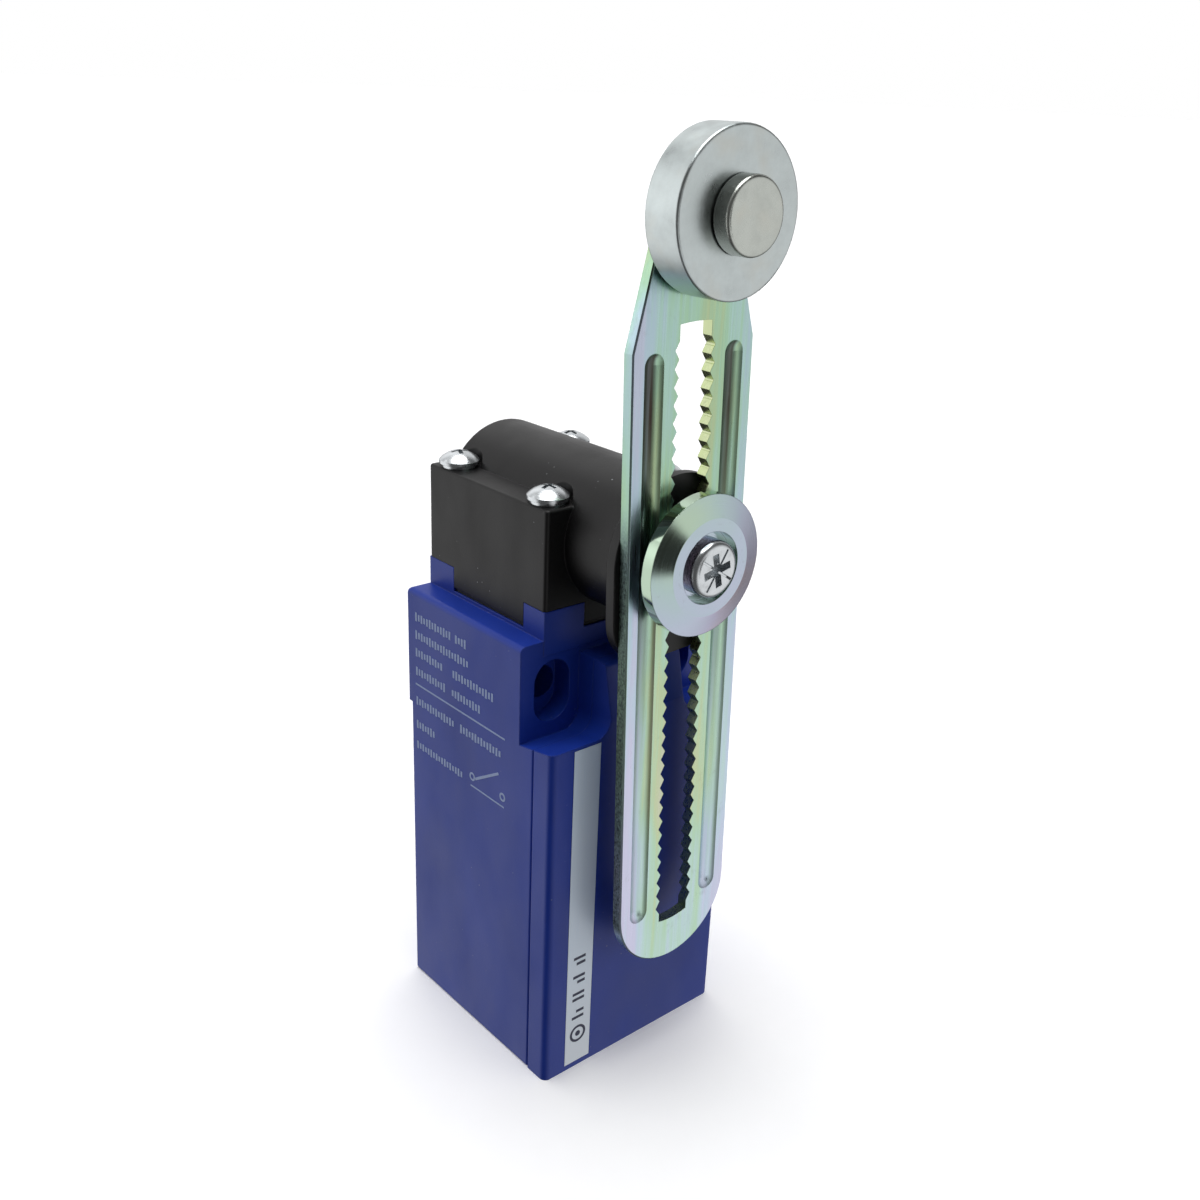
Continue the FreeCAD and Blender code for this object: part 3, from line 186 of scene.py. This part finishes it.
class Material(Tree):
    """A material on Blender's Principled shader, in object coordinates, which are the row frame's."""

    def __init__(self, name, **sockets):
        self.material = bpy.data.materials.new(name)
        super().__init__(self.material)
        self.shader = self.nodes["Principled BSDF"]
        for socket, value in sockets.items():
            self.set(socket.replace("_", " ").title().replace("Ior", "IOR"), value)
        place = self.add("TexCoord")
        metres = {0: place.outputs["Object"], "Scale": 1 / MM}
        self.point = self.add("VectorMath", metres, operation="SCALE").outputs[0]
        self.facing = place.outputs["Normal"]
        self.normal = None

    def set(self, socket, value):
        self.feed(self.shader.inputs[socket], value)

    def stretched(self, x, y, z):
        """The place in millimetres, drawn out along an axis by dividing it."""
        return self.vector("DIVIDE", self.point, (x, y, z))

    def soften(self, radius):
        """Rounds the look of sharp edges by radius millimetres, and returns where the edges are."""
        bevel = self.add("Bevel", {"Radius": radius * MM}, samples=6)
        true = self.add("NewGeometry").outputs["True Normal"]
        self.normal = bevel.outputs[0]
        return self.span(self.vector("DOT_PRODUCT", self.normal, true), 0.995, 0.80)

    def bump(self, height, depth, strength=1.0):
        """Raises the surface by depth millimetres where height is 1."""
        inputs = {"Height": height, "Distance": depth * MM, "Strength": strength, "Normal": self.normal}
        self.normal = self.add("Bump", inputs).outputs[0]

    def done(self):
        self.set("Normal", self.normal)
        return self.material


# ---- plastics and rubber ----------------------------------------------------------------------
def tinted(colour, factor):
    """The same colour, lighter or darker."""
    return tuple(min(1.0, channel * factor) for channel in colour[:3]) + (1.0,)


def moulded_plastic(name, colour, grain=0.35, roughness=0.42, dust=0.5):
    """Moulded plastic: fine eroded grain, flow clouds, rubbed edges, smudges and a little dust."""
    m = Material(name, ior=1.5, specular_ior_level=0.30)
    edges = m.soften(0.22)
    clouds = m.noise(m.stretched(9, 9, 16), 1.0, 3)
    tone = m.ramp(clouds, [(0.25, tinted(colour, 0.88)), (0.75, tinted(colour, 1.12))])
    rubbed = m.math("MULTIPLY", edges, m.span(m.noise(m.point, 1.1, 4, 0.7), 0.42, 0.72, 0, 0.5))
    tone = m.mix(rubbed, tone, tuple(0.6 * channel + 0.06 for channel in colour[:3]) + (1.0,))
    specks = m.span(m.cells(m.point, 1.35), 0.085, 0.03)
    patches = m.span(m.noise(m.point, 7.0, 2), 0.52, 0.72, 0, dust)
    tone = m.mix(m.math("MULTIPLY", specks, patches), tone, srgb(170, 172, 176))
    m.set("Base Color", tone)
    smudges = m.noise(m.stretched(6, 6, 11), 1.0, 3)
    rough = m.span(smudges, 0.3, 0.7, roughness - 0.06, roughness + 0.07)
    m.set("Roughness", m.math("ADD", rough, m.math("MULTIPLY", rubbed, 0.2)))
    m.bump(m.noise(m.point, grain, 3, 0.6), 0.010)
    return m.done()


def soft_rubber(name):
    """Black moulded rubber with bloom and a dull, slightly pitted skin."""
    m = Material(name, ior=1.52)
    m.soften(0.15)
    bloom = m.noise(m.stretched(5, 5, 3), 1.0, 4, 0.65)
    m.set("Base Color", m.ramp(bloom, [(0.3, srgb(20, 20, 21)), (0.8, srgb(44, 43, 42))]))
    m.set("Roughness", m.span(bloom, 0.3, 0.7, 0.6, 0.8))
    m.bump(m.noise(m.point, 0.2, 4, 0.7), 0.02)
    return m.done()


# ---- metals -----------------------------------------------------------------------------------
def lever_place(m):
    """Across, along and through the lever, in millimetres, from the shaft and with the lever upright."""
    origin = tuple(SHAFT_POINT / MM)
    from_shaft = m.vector("SUBTRACT", m.point, origin)
    turned = m.add("VectorRotate", {"Vector": from_shaft, "Angle": LEVER_TILT}, rotation_type="Y_AXIS")
    return m.split(turned.outputs[0])


FILM_STOPS = [
    (0.00, srgb(210, 210, 234)),
    (0.18, srgb(200, 216, 234)),
    (0.36, srgb(194, 222, 216)),
    (0.54, srgb(188, 220, 192)),
    (0.72, srgb(200, 214, 172)),
    (0.86, srgb(208, 210, 188)),
    (1.00, srgb(210, 200, 206)),
]


def passivated_arm(name):
    """Stamped sheet steel, zinc plated, with the pale green, blue and lavender film of passivation.

    The film goes through FILM_STOPS in streaks along the lever. The lower outer edge is sheared and
    torn, and is painted dark as painted shade. The slot's walls are yellow-green, and along the left
    wall of both grooves lies a painted dark reflection, partly grime.
    """
    m = Material(name, metallic=1.0)
    edges = m.soften(0.07)
    across, _, along = lever_place(m)
    depth = m.math("SUBTRACT", m.split(m.point)[1], ARM_FRONT_Y / MM)
    off_centre = m.math("ABSOLUTE", across)
    streaks = m.noise(m.stretched(1.3, 4, 30), 1.0, 4, 0.6)
    drift = m.noise(m.stretched(8, 7, 22), 1.0, 2)
    facing = m.split(m.facing)
    film = m.math("ADD", m.math("MULTIPLY", streaks, 0.90), m.math("MULTIPLY", drift, 0.65))
    film = m.math("ADD", film, m.span(off_centre, 5.2, 3.4, -0.27, -0.15))
    film = m.math("ADD", film, m.math("MULTIPLY", m.span(off_centre, 4.6, 8.6, smooth=True), -0.32))
    film = m.math("ADD", film, m.math("MULTIPLY", across, 0.008))
    film = m.math("ADD", film, m.math("MULTIPLY", facing[0], -0.28))
    film = m.math("ADD", film, m.span(along, -44, -30, -0.2, 0.0, smooth=True))
    tone = m.ramp(m.span(film, 0.0, 0.95), FILM_STOPS)
    higher = m.span(m.math("ADD", along, m.math("MULTIPLY", drift, 12)), -26, 22, smooth=True)
    tone = m.mix(higher, tone, srgb(226, 235, 230), "MULTIPLY")
    outer = m.span(off_centre, EDGE_FROM, EDGE_FROM + 0.3)
    cut = m.span(m.math("ABSOLUTE", facing[1]), 0.6, 0.3)
    # the sheared outer edge, strongest at its lower end: it drives real roughness and tearing, and painted
    # shade
    sheared_and_shaded = m.math("MULTIPLY", m.math("MULTIPLY", cut, outer), m.span(along, 9, 1, 0.12, 1, smooth=True))
    torn = m.noise(m.stretched(0.5, 0.25, 0.35), 1.0, 4, 0.75)
    # painted shade: the lower outer edge darkened to a dark grey
    tone = m.mix(m.math("MULTIPLY", sheared_and_shaded, m.span(torn, 0.36, 0.62, 1, 0.62)), tone, srgb(48, 54, 58))
    walls = m.math("MULTIPLY", cut, m.span(off_centre, SLOT_WALLS_TO, SLOT_WALLS_TO - 0.5))
    tone = m.mix(m.math("MULTIPLY", walls, 0.6), tone, srgb(206, 222, 150))
    # painted dark reflection, partly grime, along the left wall of both grooves
    sunk = m.math("MULTIPLY", m.span(depth, 0.02, 0.12), m.span(facing[1], -0.45, -0.62))
    shifted = m.math("ABSOLUTE", m.math("ADD", across, REFLECTION_AND_GRIME_SHIFT))
    from_wall = m.math("ABSOLUTE", m.math("SUBTRACT", shifted, GROOVE_MIDDLE))
    grime_and_dark_reflection = m.math("MULTIPLY", sunk, m.span(from_wall, 1.25, 0.70, smooth=True))
    grime_and_dark_reflection = m.math("MULTIPLY", grime_and_dark_reflection, m.span(along, -30, 18, 0.12, 1.0))
    grime_and_dark_reflection = m.math("MULTIPLY", grime_and_dark_reflection, m.span(streaks, 0.3, 0.6, 0.75, 1.0))
    tone = m.mix(grime_and_dark_reflection, tone, srgb(62, 53, 48))
    stains = m.span(m.noise(m.stretched(3, 3, 5), 1.0, 5, 0.75), 0.60, 0.78, 0, 0.35)
    tone = m.mix(stains, tone, srgb(132, 134, 124))
    m.set("Base Color", tone)
    brushed = m.noise(m.stretched(0.22, 0.22, 9), 1.0, 2)
    rough = m.math("ADD", m.span(brushed, 0.3, 0.7, 0.25, 0.36), m.math("MULTIPLY", sheared_and_shaded, 0.25))
    m.set("Roughness", m.math("ADD", rough, m.math("MULTIPLY", edges, 0.05)))
    m.bump(m.noise(m.stretched(0.4, 0.4, 6), 1.0, 3), 0.006)
    m.bump(m.math("MULTIPLY", torn, sheared_and_shaded), 0.05)
    m.bump(m.noise(m.point, 1.6, 3), 0.012, 0.6)
    return m.done()


def radial(m, centre):
    """Distance from an axis along Y through centre, in millimetres."""
    away = m.split(m.vector("SUBTRACT", m.point, tuple(Vector(centre) / MM)))
    square = m.math("ADD", m.math("POWER", away[0], 2), m.math("POWER", away[2], 2))
    return m.math("SQRT", square)


def turned_rings(m, distance, depth):
    """Fine concentric marks of a lathe tool."""
    inputs = {"W": m.math("MULTIPLY", distance, RINGS_PER_MM), "Scale": 1.0, "Detail": 3.0}
    rings = m.add("TexNoise", inputs, noise_dimensions="1D").outputs["Fac"]
    m.bump(rings, depth)
    return rings


TURNED_STOPS = [
    (0.00, srgb(192, 214, 192)),
    (0.25, srgb(188, 210, 208)),
    (0.50, srgb(194, 206, 222)),
    (0.75, srgb(208, 206, 232)),
    (1.00, srgb(230, 210, 216)),
]


def passivated_turned(name, centre):
    """Turned zinc-plated steel with the film's lavender, green and pink drifting across it."""
    m = Material(name, metallic=1.0)
    m.soften(0.12)
    distance = radial(m, centre)
    drift = m.noise(m.stretched(9, 9, 9), 1.0, 2, 0.4)
    side = m.split(m.facing)
    film = m.math("ADD", m.math("MULTIPLY", drift, 0.7), m.math("MULTIPLY", side[0], 0.9))
    film = m.math("ADD", film, m.math("MULTIPLY", side[2], -0.6))
    rings = turned_rings(m, distance, 0.007)
    film = m.math("ADD", film, m.math("MULTIPLY", rings, 0.12))
    stops = [(place, tinted(colour, 0.86)) for place, colour in TURNED_STOPS]
    tone = m.ramp(m.span(film, -0.05, 0.85), stops)
    spots = m.span(m.noise(m.point, 0.9, 4, 0.7), 0.62, 0.8, 0, 0.3)
    m.set("Base Color", m.mix(spots, tone, srgb(130, 120, 116)))
    m.set("Roughness", m.span(rings, 0.3, 0.7, 0.09, 0.15))
    return m.done()


def satin_steel(name, centre, colour=srgb(197, 205, 205), roughness=0.30):
    """Tumbled zinc-plated steel: soft mottling, faint turning marks and small handling dings."""
    m = Material(name, metallic=1.0)
    m.soften(0.15)
    mottle = m.noise(m.point, 1.9, 4, 0.6)
    tone = m.ramp(mottle, [(0.3, tinted(colour, 0.86)), (0.7, tinted(colour, 1.08))])
    warm = m.span(m.noise(m.point, 4.0, 2), 0.55, 0.75, 0, 0.30)
    m.set("Base Color", m.mix(warm, tone, srgb(196, 192, 180)))
    rings = turned_rings(m, radial(m, centre), 0.003)
    rough = m.span(mottle, 0.3, 0.7, roughness - 0.05, roughness + 0.07)
    m.set("Roughness", m.math("ADD", rough, m.math("MULTIPLY", rings, 0.04)))
    m.bump(m.span(m.cells(m.point, 0.8), 0.16, 0.02), 0.006)
    m.bump(m.noise(m.point, 0.25, 2), 0.003)
    return m.done()


def bright_metal(name, colour, roughness=0.16, mark=0.5):
    """Bright plated or drawn metal with light tarnish and fine die marks along its length."""
    m = Material(name, metallic=1.0)
    m.soften(0.08)
    tarnish = m.noise(m.point, 1.4, 4, 0.65)
    dark = tinted(colour, 0.62)
    tone = m.ramp(tarnish, [(0.28, tinted(colour, 1.05)), (0.55, colour), (0.85, dark)])
    m.set("Base Color", tone)
    drawn = m.noise(m.stretched(0.12, 3, 0.12), 1.0, 2)
    m.set("Roughness", m.math("ADD", m.span(tarnish, 0.3, 0.8, roughness - 0.03, roughness + 0.12),
                              m.math("MULTIPLY", drawn, 0.05)))
    m.bump(drawn, 0.004 * mark)
    m.bump(m.noise(m.point, 0.5, 3), 0.006 * mark)
    return m.done()


def label_foil(name):
    """Satin silver-grey label film with a fine brushed line, and a painted reflection that makes its foot
    paler.
    """
    m = Material(name, ior=1.5)
    m.soften(0.06)
    height = m.split(m.point)[2]
    # painted reflection: the film is paler towards its foot
    fade = m.span(height, LABEL_LOW.z / MM, LABEL_HIGH.z / MM)
    brushed = m.noise(m.stretched(0.12, 1, 7), 1.0, 3)
    tone = m.ramp(fade, [(0.0, srgb(232, 240, 250)), (0.4, srgb(220, 234, 250)), (1.0, srgb(212, 230, 248))])
    m.set("Base Color", m.mix(m.span(brushed, 0.3, 0.7, 0, 0.25), tone, srgb(236, 242, 250)))
    m.set("Metallic", m.span(brushed, 0.2, 0.8, 0.06, 0.16))
    m.set("Roughness", m.span(brushed, 0.2, 0.8, 0.34, 0.46))
    m.bump(brushed, 0.004)
    return m.done()


def printed_ink(name, colour):
    """Pad-printed ink: thin, a little uneven in density, with small pinholes."""
    m = Material(name, ior=1.48)
    m.soften(0.02)
    density = m.noise(m.point, 0.6, 4, 0.7)
    pinholes = m.span(m.cells(m.point, 0.3), 0.12, 0.05, 0, 0.4)
    tone = m.ramp(density, [(0.3, tinted(colour, 0.8)), (0.7, colour)])
    m.set("Base Color", m.mix(pinholes, tone, tinted(colour, 0.55)))
    m.set("Roughness", m.span(density, 0.3, 0.7, 0.42, 0.58))
    m.bump(density, 0.004)
    return m.done()


ROLLER_AXIS = tuple(ROLLER_CENTRE)
BLUE = srgb(25, 55, 155)
MATERIALS = {
    "housing_blue": moulded_plastic("housing_blue", BLUE, grain=0.30, roughness=0.40),
    "head_black": moulded_plastic("head_black", srgb(21, 20, 21), grain=0.28, roughness=0.42, dust=0.8),
    "hub_black": moulded_plastic("hub_black", srgb(18, 18, 19), grain=0.22, roughness=0.40, dust=0.3),
    "block_grey": moulded_plastic("block_grey", srgb(64, 66, 70), roughness=0.5, dust=0.2),
    "shutter_clear_grey": moulded_plastic("shutter_clear_grey", srgb(120, 124, 130), roughness=0.35, dust=0.2),
    "carrier_white": moulded_plastic("carrier_white", srgb(216, 214, 205), roughness=0.42, dust=0.1),
    "pusher_white": moulded_plastic("pusher_white", srgb(226, 222, 210), roughness=0.36, dust=0.1),
    "guide_grey": moulded_plastic("guide_grey", srgb(92, 94, 98), roughness=0.45, dust=0.1),
    "cam_ivory": moulded_plastic("cam_ivory", srgb(222, 214, 190), roughness=0.38, dust=0.1),
    "black_rubber": soft_rubber("black_rubber"),
    "arm_zinc": passivated_arm("arm_zinc"),
    "washer_zinc": passivated_turned("washer_zinc", SHAFT_POINT),
    "spacer_zinc": passivated_turned("spacer_zinc", ROLLER_AXIS),
    "roller_steel": satin_steel("roller_steel", ROLLER_AXIS),
    "pin_steel": satin_steel("pin_steel", ROLLER_AXIS, srgb(188, 192, 186), 0.22),
    "screw_zinc": bright_metal("screw_zinc", srgb(212, 216, 219), 0.19),
    "shaft_steel": bright_metal("shaft_steel", srgb(176, 178, 180), 0.22),
    "spring_steel": bright_metal("spring_steel", srgb(150, 152, 156), 0.20),
    "brass": bright_metal("brass", srgb(204, 170, 96), 0.22),
    "bush_bronze": bright_metal("bush_bronze", srgb(176, 130, 82), 0.34, 1.0),
    "contact_silver": bright_metal("contact_silver", srgb(224, 222, 216), 0.18),
    "label_grey": label_foil("label_grey"),
    "ink_white": printed_ink("ink_white", srgb(150, 170, 214)),
    "ink_dark": printed_ink("ink_dark", srgb(38, 44, 78)),
}

NODE_MATERIALS = {
    "housing_blue": ["body_housing", "front_cover"],
    "head_black": ["head_housing"],
    "hub_black": ["lever_hub"],
    "block_grey": ["contact_block_base"],
    "shutter_clear_grey": ["contact_block_cover"],
    "carrier_white": ["contact_carrier"],
    "pusher_white": ["pusher_right", "pusher_left"],
    "guide_grey": ["guide_plate"],
    "cam_ivory": ["cam_sleeve"],
    "black_rubber": ["cover_gasket", "head_gasket", "shaft_seal"],
    "arm_zinc": ["slotted_arm"],
    "washer_zinc": ["clamp_washer"],
    "spacer_zinc": ["roller_spacer"],
    "roller_steel": ["roller"],
    "pin_steel": ["roller_pin"],
    "screw_zinc": ["head_screws", "clamp_screw", "terminal_screws", "terminal_clamps",
                   "contact_block_screws"],
    "shaft_steel": ["operating_shaft"],
    "spring_steel": ["carrier_spring", "pusher_spring_right", "pusher_spring_left", "bridge_springs",
                     "shaft_circlip"],
    "brass": ["fixed_contacts_nc", "fixed_contacts_no", "contact_bridge_nc", "contact_bridge_no"],
    "bush_bronze": ["front_bushing", "rear_bushing", "roller_bush"],
    "contact_silver": ["contact_rivets"],
    "label_grey": ["label_strip"],
}


def dress(piece, material):
    """Gives a piece one material."""
    piece.data.materials.clear()
    piece.data.materials.append(MATERIALS[material])


for material_name, node_names in NODE_MATERIALS.items():
    for node_name in node_names:
        dress(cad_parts[node_name], material_name)


# ---- small pieces of the visual model -----------------------------------------------------------
def piece(name, corners, faces, material):
    """A mesh on the body, from corners in millimetres."""
    mesh = bpy.data.meshes.new(name)
    mesh.from_pydata([tuple(Vector(corner) * MM) for corner in corners], [], faces)
    mesh.update()
    made = bpy.data.objects.new(name, mesh)
    bpy.context.scene.collection.objects.link(made)
    dress(made, material)
    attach(made, "body")
    return made


class Print:
    """Ink shapes on a flat face: outlines across and up the face, in millimetres, with a little thickness."""

    def __init__(self, place):
        self.place = place
        self.corners = []
        self.faces = []

    def outline(self, points):
        """A convex patch of ink, its corners given anticlockwise as they are seen."""
        start = len(self.corners)
        count = len(points)
        for lift in (0.0, INK_THICKNESS):
            self.corners += [self.place(across, up, lift) for across, up in points]
        self.faces.append(tuple(range(start + count, start + 2 * count)))
        self.faces.append(tuple(range(start + count - 1, start - 1, -1)))
        for i in range(count):
            j = (i + 1) % count
            self.faces.append((start + i, start + j, start + count + j, start + count + i))

    def bar(self, across, up, width, height):
        half = width / 2
        rise = height / 2
        self.outline([(across - half, up - rise), (across + half, up - rise),
                      (across + half, up + rise), (across - half, up + rise)])

    def ring(self, across, up, outer, inner, steps=28):
        for i in range(steps):
            first, second = (2 * math.pi * turn / steps for turn in (i, i + 1))
            around = ((inner, first), (outer, first), (outer, second), (inner, second))
            self.outline([(across + radius * math.cos(angle), up + radius * math.sin(angle))
                          for radius, angle in around])

    def word(self, start, end, up, height):
        """Dummy text: a row of plain ticks of uneven height."""
        for i in range(int((end - start) / TICK_PITCH)):
            tall = 0.66 + 0.34 * ((i * 7 + round(start * 10)) % 5) / 4
            self.bar(start + (i + 0.5) * TICK_PITCH, up, TICK_WIDTH, height * tall)


def side_print():
    """Dummy text, a rule and a plain contact symbol on the housing's left face, seen from outside."""
    x = HOUSING_LOW.x / MM
    ink = Print(lambda across, up, lift: (x - lift, -across, up))
    rows = (
        (3.3, 1.25, ((1.9, 10.6), (11.3, 14.6))),
        (0.7, 1.25, ((1.9, 14.6),)),
        (-1.9, 1.25, ((1.9, 8.9), (10.7, 20.2))),
        (-4.7, 1.25, ((1.9, 9.6), (10.5, 17.5))),
        (-9.2, 1.25, ((1.9, 11.6), (12.4, 22.2))),
        (-12.8, 1.25, ((1.9, 6.9),)),
        (-16.0, 1.15, ((1.9, 13.3),)),
    )
    for up, height, words in rows:
        for start, end in words:
            ink.word(start, end, up, height)
    ink.bar(12.15, -6.7, 20.5, 0.24)
    for across in (15.3, 22.0):
        ink.ring(across, -15.2, 0.62, 0.34)
    ink.outline([(15.9, -15.1), (16.1, -15.4), (21.2, -12.3), (21.0, -12.0)])
    ink.bar(18.65, -16.6, 7.4, 0.22)
    piece("side_print", ink.corners, ink.faces, "ink_white")


def label_print():
    """A plain ring and uneven bars near the foot of the label."""
    y = LABEL_LOW.y / MM
    ink = Print(lambda across, up, lift: (across, y - lift, up))
    middle = (-9.85, -49.2)
    ink.ring(*middle, 1.35, 0.98)
    ink.ring(*middle, 0.42, 0.0)
    bars_from = -8.95
    bars = ((-46.4, 2.0), (-45.4, 1.3), (-43.4, 2.0), (-42.5, 2.0),
            (-40.6, 1.3), (-39.7, 2.0), (-37.6, 1.5), (-36.7, 2.0))
    for up, width in bars:
        ink.bar(bars_from - width / 2, up, width, 0.42)
    piece("label_print", ink.corners, ink.faces, "ink_dark")


def entry_thread():
    """The thread in the cable entry: a ridge that winds up its bore."""
    base = HOUSING_LOW.z / MM + 0.35
    steps = 48
    total = int(ENTRY_LENGTH / THREAD_PITCH * steps)
    half = THREAD_PITCH * 0.42
    corners = []
    for i in range(total + 1):
        angle = 2 * math.pi * i / steps
        fade = min(1.0, i / 12, (total - i) / 12)
        z = base + half + THREAD_PITCH * i / steps
        for radius, rise in ((ENTRY_RADIUS + 0.02, -half), (ENTRY_RADIUS - THREAD_HEIGHT * fade, 0),
                             (ENTRY_RADIUS + 0.02, half)):
            corners.append((radius * math.cos(angle), ENTRY_Y + radius * math.sin(angle), z + rise))
    faces = [(0, 1, 2), (3 * total + 2, 3 * total + 1, 3 * total)]
    for i in range(total):
        for j in range(3):
            k = (j + 1) % 3
            faces.append((3 * i + j, 3 * i + 3 + j, 3 * i + 3 + k, 3 * i + k))
    piece("entry_thread", corners, faces, "housing_blue")


def live_springs():
    """The return springs again, as plain copies in place of the hidden originals."""
    for name, presser in (("pusher_spring_right", "pusher_right"), ("pusher_spring_left", "pusher_left"),
                          ("carrier_spring", "carrier")):
        live = bpy.data.objects.new("live_" + name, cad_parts[name].data.copy())
        bpy.context.scene.collection.objects.link(live)
        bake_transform(live)
        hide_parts(name)


side_print()
label_print()
entry_thread()
live_springs()


# ---- stage ------------------------------------------------------------------------------------
FLOOR_HALF = 12.0
FLOOR_GLOW = 0.12
LIGHT_AIM = Vector((0, -16, 5)) * MM
SUN_STRENGTH = 2.2
SUN_SPREAD_DEG = 50
TENT_LEVEL = 0.10
# soft panels: direction from the switch, cosines at the panel's edge and core, brightness
PANELS = (
    ((-0.66, 0.70, -0.26), 0.66, 0.93, 1.0),
    ((0.45, -0.85, -0.35), 0.45, 0.90, 0.85),
    ((-0.35, 0.70, 0.62), 0.60, 0.95, 0.50),
    ((0.60, 0.70, 0.38), 0.62, 0.92, 0.70),
)
# a black card, which the bright cone of the washer mirrors
CARD_DIRECTION = (0.15, -0.98, -0.09)
CARD_EDGE = 0.960
CARD_CORE = 0.986
CARD_LEVEL = 0.04


def pale_floor():
    """Matt studio paper under the switch."""
    z = cad_box[0].z
    mesh = bpy.data.meshes.new("studio_floor")
    corners = [(x * FLOOR_HALF, y * FLOOR_HALF, z) for x, y in ((-1, -1), (1, -1), (1, 1), (-1, 1))]
    mesh.from_pydata(corners, [], [(0, 1, 2, 3)])
    floor = bpy.data.objects.new("studio_floor", mesh)
    bpy.context.scene.collection.objects.link(floor)
    m = Material("studio_paper", roughness=0.85, emission_color=(1, 1, 1, 1), emission_strength=FLOOR_GLOW)
    fibres = m.noise(m.point, 2.5, 4, 0.6)
    m.set("Base Color", m.ramp(fibres, [(0.3, srgb(248, 248, 249)), (0.7, srgb(252, 252, 253))]))
    m.bump(fibres, 0.02)
    mesh.materials.append(m.done())
    floor.visible_diffuse = False
    floor.visible_glossy = False


def studio_world():
    """White for the camera; for the light, a dim tent with soft bright panels round it."""
    world = bpy.data.worlds.new("studio")
    bpy.context.scene.world = world
    t = Tree(world)
    t.nodes.clear()
    way = t.add("TexCoord").outputs["Generated"]
    level = TENT_LEVEL
    for direction, edge, core, brightness in PANELS:
        toward = t.vector("DOT_PRODUCT", way, tuple(Vector(direction).normalized()))
        level = t.math("ADD", t.span(toward, edge, core, 0.0, brightness, smooth=True), level)
    card = t.vector("DOT_PRODUCT", way, tuple(Vector(CARD_DIRECTION).normalized()))
    level = t.math("MULTIPLY", level, t.span(card, CARD_EDGE, CARD_CORE, 1.0, CARD_LEVEL, smooth=True))
    seen = t.add("LightPath").outputs["Is Camera Ray"]
    lit = t.add("Background", {"Color": t.join(level, level, level), "Strength": 1.0})
    white = t.add("Background", {"Color": (1, 1, 1, 1), "Strength": 1.0})
    both = t.add("MixShader", {0: seen, 1: lit.outputs[0], 2: white.outputs[0]})
    out = t.add("OutputWorld")
    t.links.new(both.outputs[0], out.inputs["Surface"])


def overhead_sun(strength, spread_deg):
    """Even, very soft light from straight above."""
    data = bpy.data.lights.new("overhead", "SUN")
    data.energy = strength
    data.angle = math.radians(spread_deg)
    light = bpy.data.objects.new("overhead", data)
    bpy.context.scene.collection.objects.link(light)


def softbox(name, place, size, power):
    """A square soft light, placed in millimetres and aimed at the middle of the switch."""
    data = bpy.data.lights.new(name, "AREA")
    data.shape = "SQUARE"
    data.size = size * MM
    data.energy = power
    light = bpy.data.objects.new(name, data)
    bpy.context.scene.collection.objects.link(light)
    light.location = Vector(place) * MM
    light.rotation_mode = "QUATERNION"
    light.rotation_quaternion = (LIGHT_AIM - light.location).to_track_quat("-Z", "Y")


def reference_camera():
    """The camera at the reference view's place, lens and roll."""
    back = Vector((
        math.sin(CAMERA_AZIMUTH) * math.cos(CAMERA_ELEVATION),
        -math.cos(CAMERA_AZIMUTH) * math.cos(CAMERA_ELEVATION),
        math.sin(CAMERA_ELEVATION),
    ))
    right = Vector((0, 0, 1)).cross(back).normalized()
    up = back.cross(right)
    turned_right = math.cos(CAMERA_ROLL) * right + math.sin(CAMERA_ROLL) * up
    turned_up = math.cos(CAMERA_ROLL) * up - math.sin(CAMERA_ROLL) * right
    data = bpy.data.cameras.new("reference")
    data.lens = CAMERA_LENS
    data.sensor_width = 36
    data.clip_start = 0.005
    data.clip_end = 20
    camera = bpy.data.objects.new("reference", data)
    bpy.context.scene.collection.objects.link(camera)
    rotation = Matrix((turned_right, turned_up, back)).transposed().to_4x4()
    camera.matrix_world = Matrix.Translation(CAMERA_AIM + back * CAMERA_DISTANCE) @ rotation
    bpy.context.scene.camera = camera


pale_floor()
studio_world()
overhead_sun(SUN_STRENGTH, SUN_SPREAD_DEG)
softbox("high_left", (-330, 420, 420), 260, 0.14)
reference_camera()
bpy.context.scene.view_settings.view_transform = "Standard"
